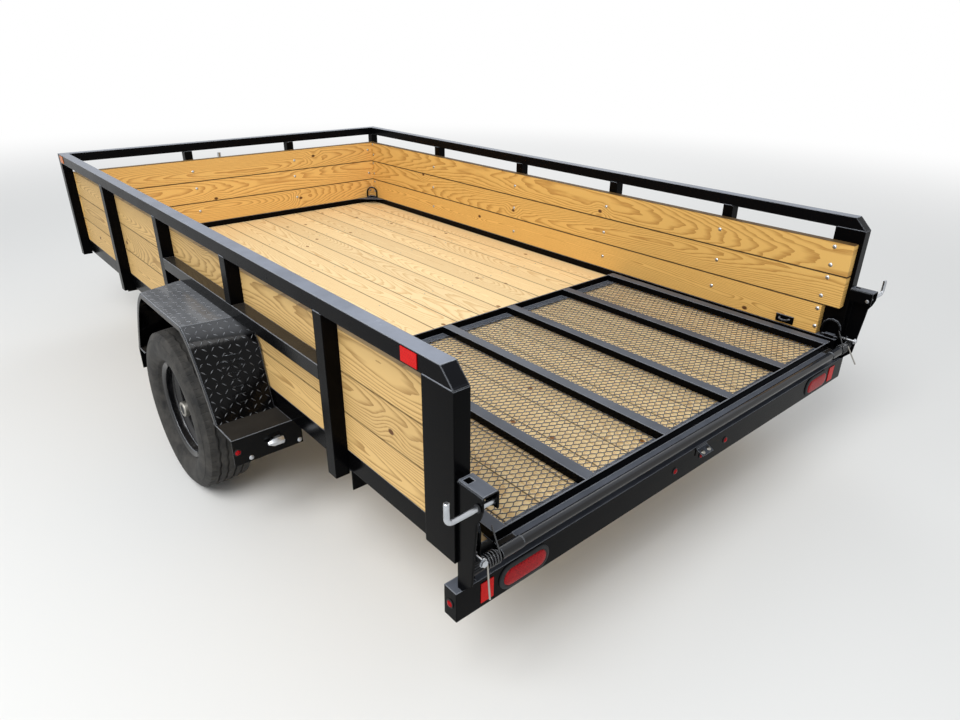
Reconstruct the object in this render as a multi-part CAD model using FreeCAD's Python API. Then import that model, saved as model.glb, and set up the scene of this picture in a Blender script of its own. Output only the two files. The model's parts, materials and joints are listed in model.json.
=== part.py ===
import FreeCAD, Part
import math
import os

# Single-axle utility trailer with timber sides, a tube top rail and a rear gate
# that folds flat on the deck. X points forward to the coupler, Y to the left, Z up.
# The ground is z = 0, and the origin is under the middle of the trailer's box.
# All sizes are millimetres; a share is a part of the bed's or the tongue's length.

# Sides of a small round bar or bore
bar_sides = 16

# Load bed
bed_length = 3855.0
bed_width = 2258.0
rail_above_frame = 608.0
tube_size = 50.8
tube_wall = 3.0

# Boards
board_thickness = 38.1
board_height = 139.7
board_rows = 3
board_gap = 3.0
deck_board_count = 15
deck_board_gap = 3.0
left_board_rear = 48.0
right_board_rear = 16.0
lowest_board_rear = 90.0

# Frame
frame_bottom = 470.0
frame_rail_height = 76.2
frame_rail_width = 38.1
frame_rail_wall = 4.0
cross_flange = 50.8
angle_wall = 4.8
cross_height = 76.2
cross_shares = (0.1556, 0.2983, 0.441, 0.6226, 0.7992)
cross_cope = 63.2
beam_depth = 50.8
beam_height = 100.0
beam_below_frame = 31.0
beam_past_rail = 11.0
beam_rear_proud = 17.7
beam_wall = 4.0

# Tongue
tongue_length = 1170.0
tongue_height = 76.2
tongue_flange = 41.0
tongue_wall = 5.0
tongue_root_half = 700.0
tongue_tip_half = 50.0
tongue_gap = 6.0

# Coupler
coupler_length = 230.0
coupler_half = 125.0
coupler_height = 12.0
coupler_nose = 40.0
ball_radius = 25.4
ball_clearance = 0.8
ball_above_tongue = 30.0
latch_lever_length = 120.0
latch_lever_width = 24.0
latch_lever_height = 14.0
latch_lever_rise = 34.0

# Posts, as shares of the bed's length from its rear face to each front edge
post_shares = (1.0, 0.7712, 0.5507, 0.3551, 0.1725)
post_below_frame = 16.0
rear_post_above_beam = 85.0
rear_post_length = 125.0
front_post_half = 370.0
mid_rail_above_frame = 325.0

# Running gear
axle_share = 0.415
wheel_past_rail = 2.5
axle_radius = 30.15
axle_short_of_wheel = 90.0
spindle_radius = 17.5
spindle_past_wheel = 30.0
bore_clearance = 0.3

# Wheels, in flat sectors round the rim
tyre_radius = 340.0
tyre_width = 203.0
tyre_sectors = 40
sidewall_height = 75.0
shoulder_drop = 6.0
shoulder_width = 22.0
bead_half = 62.0
rim_radius = 208.0
rim_seat_depth = 18.0
rim_width = 140.0
rim_wall = 4.0
disc_offset = 8.0
disc_step = 22.0
disc_step_radius = 150.0
hub_radius = 62.0
hub_inner_reach = 60.0
hub_flange_reach = 14.0
hub_cap_radius = 33.0
hub_cap_reach = 68.0
hub_cap_wall = 2.5
lug_count = 5
lug_circle_radius = 49.0
lug_radius = 10.0
lug_height = 18.0

# Leaf springs
spring_length = 641.0
spring_width = 44.5
leaf_thickness = 6.5
leaf_count = 4
leaf_step_share = 0.2
spring_eye_radius = 16.0
spring_bolt_radius = 7.0
spring_rise = 45.0
spring_side_gap = 0.3
hanger_wall = 6.0
hanger_half = 30.0
hanger_drop = 22.0
u_bolt_radius = 6.0
u_bolt_half = 28.0
tie_plate_wall = 9.0
tie_plate_half = 48.0

# Fenders, as half lengths and drops from the flat top to the end panels
fender_ahead = 10.0
fender_outer_halves = (232.0, 300.0, 375.0, 452.0)
fender_inner_halves = (280.0, 385.0, 420.0, 460.0)
fender_drop_shares = (0.0, 0.185, 0.54, 1.0)
fender_fall = 8.0
fender_past_rail = 179.0
fender_board_gap = 7.0
fender_wall = 3.0
fender_lip = 22.0
shelf_length = 165.0
shelf_behind = 135.0
short_shelf_length = 90.0
shelf_wall = 6.0
shelf_height = 106.0
shelf_tuck = 34.0

# Gate
hinge_behind = 36.0
hinge_above_beam = 74.0
hinge_radius = 9.0
hinge_pipe_radius = 16.0
hinge_pipe_wall = 3.0
barrel_radius = 18.0
barrel_length = 80.0
barrel_to_stand = 59.0
gate_side_gap = 48.1
gate_length = 1220.0
gate_rear = 2.0
gate_height = 38.0
gate_angle_width = 45.0
gate_angle_wall = 4.0
gate_bar_shares = (-0.6, -0.2, 0.2, 0.6)
mesh_wall = 3.0
mesh_rows = 8
mesh_columns = 2
mesh_strand = 12.0
moving_clearance = 5.5

# Latch stands
stand_below_rail = 9.0
stand_width = 54.0
stand_wall = 6.0
stand_depth = 94.0
stand_height = 344.0
stand_flange_height = 54.0
stand_bend = 8.0
slot_front = 8.0
slot_rear = 30.0
slot_from_inner = 22.0
slot_from_outer = 10.0
# rear edge of the stand's side wall, as shares of its depth and height
stand_edge = ((0.596, 0.121), (0.66, 0.356), (0.745, 0.609), (0.777, 0.735), (0.915, 0.803), (1.0, 0.874))
pin_radius = 7.5
pin_behind = 79.0
pin_above_beam = 306.0
pin_outside = 95.0
pin_inside = 8.0
pin_handle = 62.0
pin_bend = 18.0
pin_clearance = 0.15

# Gate springs
coil_wire = 2.8
coil_turns = 4
coil_pitch = 6.6
coil_sectors = 12
coil_from_barrel = 10.0
coil_clearance = 0.35
leg_up = (21.0, 86.0)
leg_down = (-49.0, -78.0)
leg_outward = 22.0
sleeve_radius = 15.7
anchor_above_beam = 108.0
anchor_inset = 33.0
anchor_length = 64.0
anchor_radius = 6.35
anchor_head_radius = 11.0
anchor_head = 8.0

# Tie rings
tie_from_rear = 240.0
tie_above_frame = 27.0
tie_half_length = 42.0
tie_half_height = 18.0
tie_plate = 6.0
tie_ring_radius = 24.0
tie_ring_reach = 22.0
tie_wire = 5.0
corner_gusset = 148.0
corner_gusset_wall = 6.0
corner_ring_inset = 48.0
rear_ring_from_rear = 33.0
rear_ring_from_boards = 12.0
standing_ring_radius = 38.0
standing_ring_wire = 6.35
ring_clip_half = 20.0
ring_clip_wall = 4.0

# Jack
jack_share = 0.6325
jack_tube_radius = 28.5
jack_tube_wall = 3.0
jack_tube_bottom = 230.0
jack_tube_top = 790.0
jack_leg_radius = 20.0
jack_leg_length = 540.0
jack_clearance = 0.3
jack_cap = 10.0
jack_sleeve = 40.0
jack_plate = 210.0
jack_plate_wall = 8.0
jack_foot = 110.0
jack_foot_thickness = 6.0
crank_wire = 6.0
crank_stub = 18.0
crank_arm = 130.0
crank_bend = 14.0
knob_radius = 14.0
knob_height = 42.0

# Lamps and reflectors on the rear beam
lamp_from_beam_end = 250.0
lamp_half_length = 84.0
lamp_half_height = 30.0
lamp_proud = 9.0
grommet_border = 14.0
grommet_proud = 5.0
marker_radius = 11.0
marker_proud = 7.0
marker_rim = 3.0
marker_rim_proud = 2.5
marker_spacing = 160.0
reflector_wall = 2.5
beam_reflector_width = 45.0
beam_reflector_height = 68.0
beam_reflector_from_end = 108.0
rail_reflector_length = 68.0
rail_reflector_height = 40.0
red_reflector_from_rear = 173.0
amber_reflector_from_front = 86.0

# Worked out
tongue_reach = bed_length + tongue_length
rear_reach = stand_depth
x_rear = -(tongue_reach - rear_reach) / 2.0
half_width = bed_width / 2.0
beam_front = beam_depth - beam_rear_proud
beam_half_length = half_width + beam_past_rail
board_outer = half_width - tube_size
board_inner = board_outer - board_thickness
frame_top = frame_bottom + frame_rail_height
top_rail_height = frame_bottom + rail_above_frame
rail_bottom = top_rail_height - tube_size
beam_top = frame_bottom - beam_below_frame
beam_bottom = beam_top - beam_height
beam_middle = (beam_top + beam_bottom) / 2.0
cross_bottom = frame_bottom - cross_height
cross_places = (beam_front,) + tuple(share * bed_length for share in cross_shares)
post_fronts = tuple(share * bed_length for share in post_shares)
post_bottom = frame_bottom - post_below_frame
mid_rail_bottom = frame_bottom + mid_rail_above_frame
deck_board_pitch = (2.0 * board_inner + deck_board_gap) / deck_board_count
deck_top = frame_bottom + board_thickness
bed_inner_front = bed_length - tube_size - board_thickness
tongue_bottom = frame_bottom - tongue_height
tongue_root = cross_places[-1] + cross_flange
ball_x = tongue_reach - coupler_nose
ball_height = tongue_bottom + ball_above_tongue
tongue_tip = ball_x - coupler_nose
axle_from_rear = axle_share * bed_length
wheel_height = tyre_radius
wheel_half_track = half_width + wheel_past_rail + tyre_width / 2.0
spring_bottom = wheel_height + axle_radius
spring_top = spring_bottom + leaf_thickness * leaf_count
spring_eye_height = spring_top + spring_rise - spring_eye_radius / 2.0
fender_middle = axle_from_rear + fender_ahead
fender_inner = board_outer + fender_board_gap
fender_outer = half_width + fender_past_rail
hinge_x = -hinge_behind
hinge_height = beam_top + hinge_above_beam
gate_front = gate_rear + gate_length
gate_half_width = board_inner - gate_side_gap
gate_floor = deck_top + moving_clearance
mesh_bottom = gate_floor + gate_angle_wall
mesh_top = mesh_bottom + mesh_wall
gate_top = gate_floor + gate_height
stand_outer = half_width - stand_below_rail
stand_inner = stand_outer - stand_width
stand_top = beam_top + stand_height
barrel_outer = stand_inner - barrel_to_stand
hinge_pipe_half = barrel_outer - barrel_length
anchor_y = stand_outer - anchor_inset
anchor_height = beam_top + anchor_above_beam
jack_from_rear = bed_length + jack_share * tongue_length
lamp_half_spacing = beam_half_length - lamp_from_beam_end


def vec(x, y, z):
    return FreeCAD.Vector(x_rear + x, y, z)


def block(x0, x1, y0, y1, z0, z1):
    return Part.makeBox(x1 - x0, y1 - y0, z1 - z0, vec(x0, y0, z0))


def rod(start, end, radius):
    first = vec(*start)
    along = vec(*end) - first
    return Part.makeCylinder(radius, along.Length, first, along)


def bar(start, end, radius):
    """Small round bar along X or along Y, drawn with flat sides."""
    push = tuple(last - first for first, last in zip(start, end))
    corners = []
    for side in range(bar_sides):
        angle = 2.0 * math.pi * side / bar_sides
        first = radius * math.cos(angle)
        second = radius * math.sin(angle)
        if push[0]:
            corners.append((start[0], start[1] + first, start[2] + second))
        else:
            corners.append((start[0] + first, start[1], start[2] + second))
    return prism(corners, push)


def outline(points):
    corners = [vec(*point) for point in points]
    return Part.makePolygon(corners + corners[:1])


def prism(points, push):
    """Closed outline of (x, y, z) points pushed along the vector push."""
    return Part.Face(outline(points)).extrude(FreeCAD.Vector(*push))


def flat_sided(faces):
    """Solid bounded by flat faces, each a list of corners."""
    shell = Part.Shell([Part.Face(Part.makePolygon(face + face[:1])) for face in faces])
    solid = Part.Solid(shell)
    if solid.Volume < 0:
        solid.reverse()
    return solid


def bent_wire(points, radius, sides):
    """Bar of flat facets along a path of (x, y, z) points, as a bent rod or a coil."""
    path = [vec(*point) for point in points]
    rings = []
    across = None
    for place, point in enumerate(path):
        ahead = path[min(place + 1, len(path) - 1)] - point
        behind = point - path[max(place - 1, 0)]
        along = FreeCAD.Vector(0, 0, 0)
        for step in (ahead, behind):
            if step.Length > 0:
                along = along + step.normalize()
        along.normalize()
        if across is None:
            spare = FreeCAD.Vector(0, 0, 1) if abs(along.z) < 0.9 else FreeCAD.Vector(1, 0, 0)
            across = along.cross(spare)
        across = across - along * across.dot(along)
        across.normalize()
        third = along.cross(across)
        ring = []
        for side in range(sides):
            angle = 2.0 * math.pi * side / sides
            ring.append(point + across * (radius * math.cos(angle)) + third * (radius * math.sin(angle)))
        rings.append(ring)
    faces = [rings[0], rings[-1]]
    for first, second in zip(rings, rings[1:]):
        for side in range(sides):
            after = (side + 1) % sides
            faces.append([first[side], first[after], second[after]])
            faces.append([first[side], second[after], second[side]])
    return flat_sided(faces)


def tube_along_x(x0, x1, y0, z0, width, height, wall):
    outer = block(x0, x1, y0, y0 + width, z0, z0 + height)
    inner = block(x0, x1, y0 + wall, y0 + width - wall, z0 + wall, z0 + height - wall)
    return outer.cut(inner)


def tube_along_y(x0, y0, y1, z0, width, height, wall):
    outer = block(x0, x0 + width, y0, y1, z0, z0 + height)
    inner = block(x0 + wall, x0 + width - wall, y0, y1, z0 + wall, z0 + height - wall)
    return outer.cut(inner)


def tube_along_z(x0, x1, y0, y1, z0, z1, wall):
    outer = block(x0, x1, y0, y1, z0, z1)
    inner = block(x0 + wall, x1 - wall, y0 + wall, y1 - wall, z0, z1)
    return outer.cut(inner)


def mirrored(shape):
    return shape.mirror(FreeCAD.Vector(0, 0, 0), FreeCAD.Vector(0, 1, 0))


def save(name, shapes):
    if not isinstance(shapes, list):
        shapes = [shapes]
    shape = shapes[0] if len(shapes) == 1 else Part.makeCompound(shapes)
    shape.exportStep("parts/%s.step" % name)


def save_pair(name, shapes):
    if not isinstance(shapes, list):
        shapes = [shapes]
    save(name + "_left", shapes)
    save(name + "_right", [mirrored(shape) for shape in shapes])


def save_both(name, shapes):
    """Left and right pieces of one kind in one node."""
    if not isinstance(shapes, list):
        shapes = [shapes]
    save(name, shapes + [mirrored(shape) for shape in shapes])


def side_frame_rail():
    return tube_along_x(0, bed_length - tube_size, board_outer - frame_rail_width, frame_bottom,
                        frame_rail_width, frame_rail_height, frame_rail_wall)


def front_frame_rail():
    return tube_along_y(bed_inner_front, -board_inner, board_inner, frame_bottom,
                        frame_rail_width, frame_rail_height, frame_rail_wall)


def crossmembers():
    """Angles under the deck, their uprights stopping short of the springs where they pass one."""
    members = []
    spring_reach = spring_length / 2.0 + hanger_half + cross_flange
    for x in cross_places:
        half = board_outer
        if abs(x - axle_from_rear) < spring_reach:
            half = board_outer - cross_cope
        upright = block(x, x + angle_wall, -half, half, cross_bottom, frame_bottom)
        flange = block(x, x + cross_flange, -board_outer, board_outer, frame_bottom - angle_wall, frame_bottom)
        members.append(upright.fuse(flange).removeSplitter())
    return members


def rear_beam():
    """Box beam under the rear of the bed, closed at both ends."""
    outer = block(-beam_rear_proud, beam_front, -beam_half_length, beam_half_length, beam_bottom, beam_top)
    half = beam_half_length - beam_wall
    inner = block(beam_wall - beam_rear_proud, beam_front - beam_wall, -half, half,
                  beam_bottom + beam_wall, beam_top - beam_wall)
    return outer.cut(inner)


def side_posts():
    posts = []
    bottoms = (post_bottom, post_bottom, post_bottom, mid_rail_bottom + tube_size, post_bottom)
    for front, bottom in zip(post_fronts, bottoms):
        posts.append(tube_along_z(front - tube_size, front, board_outer, half_width,
                                  bottom, rail_bottom, tube_wall))
    posts.append(tube_along_z(0, rear_post_length, board_outer, half_width,
                              beam_top + rear_post_above_beam, rail_bottom, tube_wall))
    return posts


def front_posts():
    posts = []
    for middle in (front_post_half, -front_post_half):
        posts.append(tube_along_z(bed_length - tube_size, bed_length, middle - tube_size / 2.0,
                                  middle + tube_size / 2.0, post_bottom, rail_bottom, tube_wall))
    return posts


def side_top_rail():
    """Top rail with a plate across its cut back rear end and a mitre at the front corner."""
    y0 = board_outer
    rail = tube_along_x(0, bed_length, y0, rail_bottom, tube_size, tube_size, tube_wall)
    bevel = prism([(0, y0, rail_bottom), (0, y0, top_rail_height), (tube_size, y0, top_rail_height)],
                  (0, tube_size, 0))
    cap_depth = tube_wall * math.sqrt(2.0)
    cap = prism([(0, y0, rail_bottom), (tube_size, y0, top_rail_height),
                 (tube_size + cap_depth, y0, top_rail_height), (cap_depth, y0, rail_bottom)],
                (0, tube_size, 0))
    mitre = prism([(bed_length, y0, rail_bottom), (bed_length, half_width, rail_bottom),
                   (bed_length - tube_size, y0, rail_bottom)], (0, 0, tube_size))
    return rail.cut(bevel).fuse(cap).cut(mitre)


def front_top_rail():
    x0 = bed_length - tube_size
    rail = tube_along_y(x0, -half_width, half_width, rail_bottom, tube_size, tube_size, tube_wall)
    mitre = prism([(x0, board_outer, rail_bottom), (bed_length, half_width, rail_bottom),
                   (x0, half_width, rail_bottom)], (0, 0, tube_size))
    return rail.cut(mitre).cut(mirrored(mitre))


def mid_rail():
    x0 = post_fronts[4]
    x1 = post_fronts[2] - tube_size
    return tube_along_x(x0, x1, board_outer, mid_rail_bottom, tube_size, tube_size, tube_wall)


def side_boards(upper_rear):
    boards = []
    for row in range(board_rows):
        rear = lowest_board_rear if row == 0 else upper_rear
        z0 = frame_top + row * (board_height + board_gap)
        boards.append(block(rear, bed_inner_front, board_inner, board_outer, z0, z0 + board_height))
    return boards


def front_boards():
    boards = []
    for row in range(board_rows):
        z0 = frame_top + row * (board_height + board_gap)
        boards.append(block(bed_inner_front, bed_length - tube_size, -board_outer, board_outer,
                            z0, z0 + board_height))
    return boards


def deck_boards():
    boards = []
    for place in range(deck_board_count):
        y0 = -board_inner + place * deck_board_pitch
        boards.append(block(beam_front, bed_inner_front, y0, y0 + deck_board_pitch - deck_board_gap,
                            frame_bottom, deck_top))
    return boards


def tongue_member():
    """One channel of the A-frame, cut square against the foremost crossmember."""
    root = FreeCAD.Vector(tongue_root, tongue_root_half, 0)
    tip = FreeCAD.Vector(tongue_tip, tongue_tip_half, 0)
    along = tip - root
    length = along.Length + tongue_flange
    turn = math.degrees(math.atan2(along.y, along.x))
    web = Part.makeBox(length, tongue_wall, tongue_height)
    low = Part.makeBox(length, tongue_flange, tongue_wall)
    high = Part.makeBox(length, tongue_flange, tongue_wall, FreeCAD.Vector(0, 0, tongue_height - tongue_wall))
    channel = web.fuse(low).fuse(high).removeSplitter()
    channel.translate(FreeCAD.Vector(-tongue_flange, 0, 0))
    channel = channel.mirror(FreeCAD.Vector(0, 0, 0), FreeCAD.Vector(0, 1, 0))
    channel.rotate(FreeCAD.Vector(0, 0, 0), FreeCAD.Vector(0, 0, 1), turn)
    channel.translate(vec(root.x, root.y, tongue_bottom))
    room = block(tongue_root, tongue_tip, tongue_gap / 2.0, board_inner, tongue_bottom, frame_bottom)
    return channel.common(room)


def coupler():
    """Wedge plate on the A-frame with a hollow nose that takes the tow ball."""
    z0 = frame_bottom
    socket = ball_radius + ball_clearance
    plate = prism([(tongue_tip - coupler_length, -coupler_half, z0), (ball_x, -coupler_nose, z0),
                   (ball_x, coupler_nose, z0), (tongue_tip - coupler_length, coupler_half, z0)],
                  (0, 0, coupler_height))
    nose = Part.makeCylinder(coupler_nose, tongue_height + coupler_height, vec(ball_x, 0, tongue_bottom))
    throat = Part.makeCylinder(socket, ball_above_tongue, vec(ball_x, 0, tongue_bottom))
    half = socket * math.sqrt(0.5)
    roof = Part.makeCone(socket, half, half, vec(ball_x, 0, ball_height))
    return plate.fuse(nose).cut(throat.fuse(roof))


def coupler_latch():
    """Lever that lies along the top of the coupler and lifts at its rear end."""
    z0 = frame_bottom + coupler_height
    x1 = ball_x + latch_lever_width / 2.0
    x0 = x1 - latch_lever_length
    y0 = -latch_lever_width / 2.0
    return prism([(x1, y0, z0), (x1 - latch_lever_length / 3.0, y0, z0), (x0, y0, z0 + latch_lever_rise),
                  (x0, y0, z0 + latch_lever_rise + latch_lever_height / 2.0),
                  (x1 - latch_lever_length / 3.0, y0, z0 + latch_lever_height),
                  (x1, y0, z0 + latch_lever_height)], (0, latch_lever_width, 0))


def jack_tube():
    """Outer tube with a plate across the A-frame, and a sleeve at the mouth that guides the leg."""
    base = vec(jack_from_rear, 0, jack_tube_bottom)
    height = jack_tube_top - jack_tube_bottom
    bore = jack_tube_radius - jack_tube_wall
    outer = Part.makeCylinder(jack_tube_radius, height, base)
    inner = Part.makeCylinder(bore, height - jack_cap, base)
    sleeve = Part.makeCylinder(bore, jack_sleeve, base)
    guide = Part.makeCylinder(jack_leg_radius + jack_clearance, jack_sleeve, base)
    slope = (tongue_root_half - tongue_tip_half) / (tongue_tip - tongue_root)
    half = tongue_tip_half + slope * (tongue_tip - jack_from_rear)
    plate = block(jack_from_rear - jack_plate / 2.0, jack_from_rear + jack_plate / 2.0, -half, half,
                  frame_bottom, frame_bottom + jack_plate_wall)
    return outer.fuse(plate).cut(inner).fuse(sleeve.cut(guide))


def jack_leg():
    foot = block(jack_from_rear - jack_foot / 2.0, jack_from_rear + jack_foot / 2.0,
                 -jack_foot / 2.0, jack_foot / 2.0, 0, jack_foot_thickness)
    leg = Part.makeCylinder(jack_leg_radius, jack_leg_length, vec(jack_from_rear, 0, jack_foot_thickness))
    return foot.fuse(leg)


def jack_crank():
    """Crank wire from the top of the tube, out to the side and up to a knob."""
    x = jack_from_rear
    z0 = jack_tube_top
    z1 = z0 + crank_stub
    arm = -crank_arm
    path = [(x, 0, z0), (x, 0, z1 - crank_bend), (x, -crank_bend, z1), (x, arm + crank_bend, z1),
            (x, arm, z1 + crank_bend), (x, arm, z1 + 2.0 * crank_bend)]
    knob = rod((x, arm, z1 + 2.0 * crank_bend), (x, arm, z1 + 2.0 * crank_bend + knob_height), knob_radius)
    return [bent_wire(path, crank_wire, 8), knob]


def axle():
    half = wheel_half_track - axle_short_of_wheel
    beam = rod((axle_from_rear, -half, wheel_height), (axle_from_rear, half, wheel_height), axle_radius)
    reach = wheel_half_track + spindle_past_wheel
    spindle = rod((axle_from_rear, -reach, wheel_height), (axle_from_rear, reach, wheel_height), spindle_radius)
    return beam.fuse(spindle).removeSplitter()


def turned_flat(points, sectors):
    """Ring of flat sectors about the left wheel's own line from (radius, offset) points."""
    faces = []
    for sector in range(sectors):
        for first, second in zip(points, points[1:] + points[:1]):
            corners = []
            for (radius, offset), place in ((first, sector), (second, sector), (second, sector + 1),
                                            (first, sector + 1)):
                angle = 2.0 * math.pi * (place % sectors) / sectors
                corner = vec(axle_from_rear + radius * math.cos(angle), wheel_half_track + offset,
                             wheel_height + radius * math.sin(angle))
                if not corners or (corner - corners[-1]).Length > 0.001:
                    corners.append(corner)
            if (corners[0] - corners[-1]).Length < 0.001:
                corners.pop()
            if len(corners) > 2:
                faces.append(corners)
    return flat_sided(faces)


def tyre():
    half = tyre_width / 2.0
    seat = rim_radius - rim_seat_depth
    side = [(seat, bead_half), (rim_radius + shoulder_drop, bead_half + shoulder_drop / 2.0),
            (tyre_radius - sidewall_height, half), (tyre_radius - shoulder_width, half - shoulder_drop),
            (tyre_radius, half - shoulder_width - shoulder_drop)]
    return turned_flat([(radius, -offset) for radius, offset in side] + side[::-1], tyre_sectors)


def rim():
    half = rim_width / 2.0
    seat = rim_radius - rim_seat_depth
    front = disc_offset + rim_wall
    profile = [(hub_cap_radius, disc_offset), (hub_cap_radius, front), (disc_step_radius, front),
               (seat - rim_wall, front + disc_step), (seat - rim_wall, half), (rim_radius, half),
               (rim_radius, half - rim_wall), (seat, half - rim_wall), (seat, rim_wall - half),
               (rim_radius, rim_wall - half), (rim_radius, -half), (seat - rim_wall, -half),
               (seat - rim_wall, disc_step), (disc_step_radius, disc_offset)]
    return turned_flat(profile, tyre_sectors)


def hub():
    """Bored hub with a flange behind the wheel disc and a closed cap through it."""
    bore = spindle_radius + bore_clearance
    inside = spindle_past_wheel + bore_clearance
    profile = [(bore, -hub_inner_reach), (hub_cap_radius + hub_cap_wall, -hub_inner_reach),
               (hub_cap_radius + hub_cap_wall, -hub_flange_reach), (hub_radius, -hub_flange_reach),
               (hub_radius, disc_offset), (hub_cap_radius - bore_clearance, disc_offset),
               (hub_cap_radius - bore_clearance, hub_cap_reach), (0, hub_cap_reach), (0, inside), (bore, inside)]
    return turned_flat(profile, tyre_sectors // 2)


def lug_nuts():
    nuts = []
    y0 = wheel_half_track + disc_offset + rim_wall
    for lug in range(lug_count):
        angle = 2.0 * math.pi * (lug + 0.25) / lug_count
        x = axle_from_rear + lug_circle_radius * math.cos(angle)
        z = wheel_height + lug_circle_radius * math.sin(angle)
        nuts.append(hexagon((x, y0, z), (0, lug_height, 0), lug_radius))
    return nuts


def hexagon(start, push, radius):
    """Six-sided nut or bolt head on a face, pushed along X or along Y."""
    corners = []
    for corner in range(6):
        angle = math.pi * corner / 3.0
        first = radius * math.cos(angle)
        second = radius * math.sin(angle)
        if push[0]:
            corners.append((start[0], start[1] + first, start[2] + second))
        else:
            corners.append((start[0] + first, start[1], start[2] + second))
    return prism(corners, push)


def fender_arch(halves, y, inset, fall):
    """Corners of the fender's arch as seen from the side, drawn inset from its outer face."""
    top = mid_rail_bottom - fall
    drop = top - frame_bottom
    arch = []
    for half, share in zip(halves, fender_drop_shares):
        z = top - share * drop
        arch.append((half - inset, z - inset if share < 1.0 else z))
    rear = [vec(fender_middle - half, y, z) for half, z in arch[::-1]]
    front = [vec(fender_middle + half, y, z) for half, z in arch]
    return rear + front


def between(first, second):
    """Solid between two outlines with as many corners, its sides folded along flat facets."""
    faces = [first, second]
    for place in range(len(first)):
        after = (place + 1) % len(first)
        faces.append([first[place], first[after], second[place]])
        faces.append([first[after], second[after], second[place]])
    return flat_sided(faces)


def fender():
    """Folded arch, wider and higher at the boards than at its outer edge, with a folded lip."""
    skin = fender_outer - fender_wall
    solid = between(fender_arch(fender_outer_halves, fender_outer, 0.0, fender_fall),
                    fender_arch(fender_inner_halves, fender_inner, 0.0, 0.0))
    hollow = between(fender_arch(fender_outer_halves, skin, fender_wall, fender_fall),
                     fender_arch(fender_inner_halves, fender_inner, fender_wall, 0.0))
    lip = fender_arch(fender_outer_halves, skin, fender_lip, fender_fall)
    mouth = Part.Face(Part.makePolygon(lip + lip[:1]))
    return solid.cut(hollow).cut(mouth.extrude(FreeCAD.Vector(0, fender_wall, 0)))


def fender_brackets():
    """Shelf and hanging plate under each end of the fender, carried by the frame rail."""
    brackets = []
    for side, past, length in ((-1, shelf_behind, shelf_length), (1, 0.0, short_shelf_length)):
        end = fender_middle + side * (fender_outer_halves[-1] + past)
        near = end - side * length
        face = end - side * shelf_wall
        shelf = block(min(end, near), max(end, near), board_outer, fender_outer,
                      frame_bottom - shelf_wall, frame_bottom)
        plate = block(min(end, face), max(end, face), board_outer - shelf_tuck, fender_outer,
                      frame_bottom - shelf_height, frame_bottom)
        brackets.append(shelf.fuse(plate).removeSplitter())
    return brackets


def gate_frame():
    """Angle frame with bars along it over the mesh, and the hinge pipe on a strip at its rear."""
    x0 = gate_rear
    x1 = gate_front
    half = gate_half_width
    width = gate_angle_width
    wall = gate_angle_wall
    edges = [width - half] + [share * half + width / 2.0 for share in gate_bar_shares] + [half]
    pieces = []
    for y in edges:
        pieces.append(block(x0, x1, y - width, y, gate_top - wall, gate_top))
        pieces.append(block(x0, x1, y - wall, y, mesh_top, gate_top))
    for xa, xb, xc, xd in ((x0, x0 + width, x0, x0 + wall), (x1 - width, x1, x1 - wall, x1)):
        pieces.append(block(xa, xb, -half, half, gate_floor, mesh_bottom))
        pieces.append(block(xc, xd, -half, half, gate_floor, gate_top))
    start = (hinge_x, -hinge_pipe_half, hinge_height)
    end = (hinge_x, hinge_pipe_half, hinge_height)
    pieces.append(block(hinge_x, x0 + wall, -hinge_pipe_half, hinge_pipe_half, gate_floor, mesh_bottom))
    pieces.append(rod(start, end, hinge_pipe_radius))
    shape = pieces[0].multiFuse(pieces[1:])
    return shape.cut(rod(start, end, hinge_pipe_radius - hinge_pipe_wall)).removeSplitter()


def gate_barrels():
    """Bored barrel at each end of the hinge pipe, turning on the hinge bolt."""
    start = (hinge_x, hinge_pipe_half, hinge_height)
    end = (hinge_x, barrel_outer, hinge_height)
    strip = block(hinge_x, gate_rear, hinge_pipe_half, gate_half_width, gate_floor, mesh_bottom)
    barrel = bar(start, end, barrel_radius).fuse(strip).cut(bar(start, end, hinge_radius + bore_clearance))
    return [barrel, mirrored(barrel)]


def gate_mesh():
    """Expanded sheet under the gate's bars, with rows of diamonds between them."""
    half = gate_half_width
    sheet = block(gate_rear + gate_angle_wall, gate_front - gate_angle_wall, -half, half, mesh_bottom, mesh_top)
    edges = [-half] + [share * half for share in gate_bar_shares] + [half]
    row_pitch = (gate_length - 2.0 * gate_angle_width) / (mesh_rows + 1)
    across_half = row_pitch - mesh_strand
    diamonds = []
    for low, high in zip(edges, edges[1:]):
        column_pitch = (high - low - gate_angle_width - mesh_strand) / (mesh_columns + 0.5)
        along_half = (column_pitch - mesh_strand) / 2.0
        for row in range(mesh_rows):
            x = gate_rear + gate_angle_width + (row + 1) * row_pitch
            for column in range(mesh_columns):
                y = low + gate_angle_width + (column + 0.5 + 0.5 * (row % 2)) * column_pitch
                diamonds.append(prism([(x - across_half, y, mesh_bottom), (x, y - along_half, mesh_bottom),
                                       (x + across_half, y, mesh_bottom), (x, y + along_half, mesh_bottom)],
                                      (0, 0, mesh_wall)))
    return sheet.cut(Part.makeCompound(diamonds))


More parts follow.
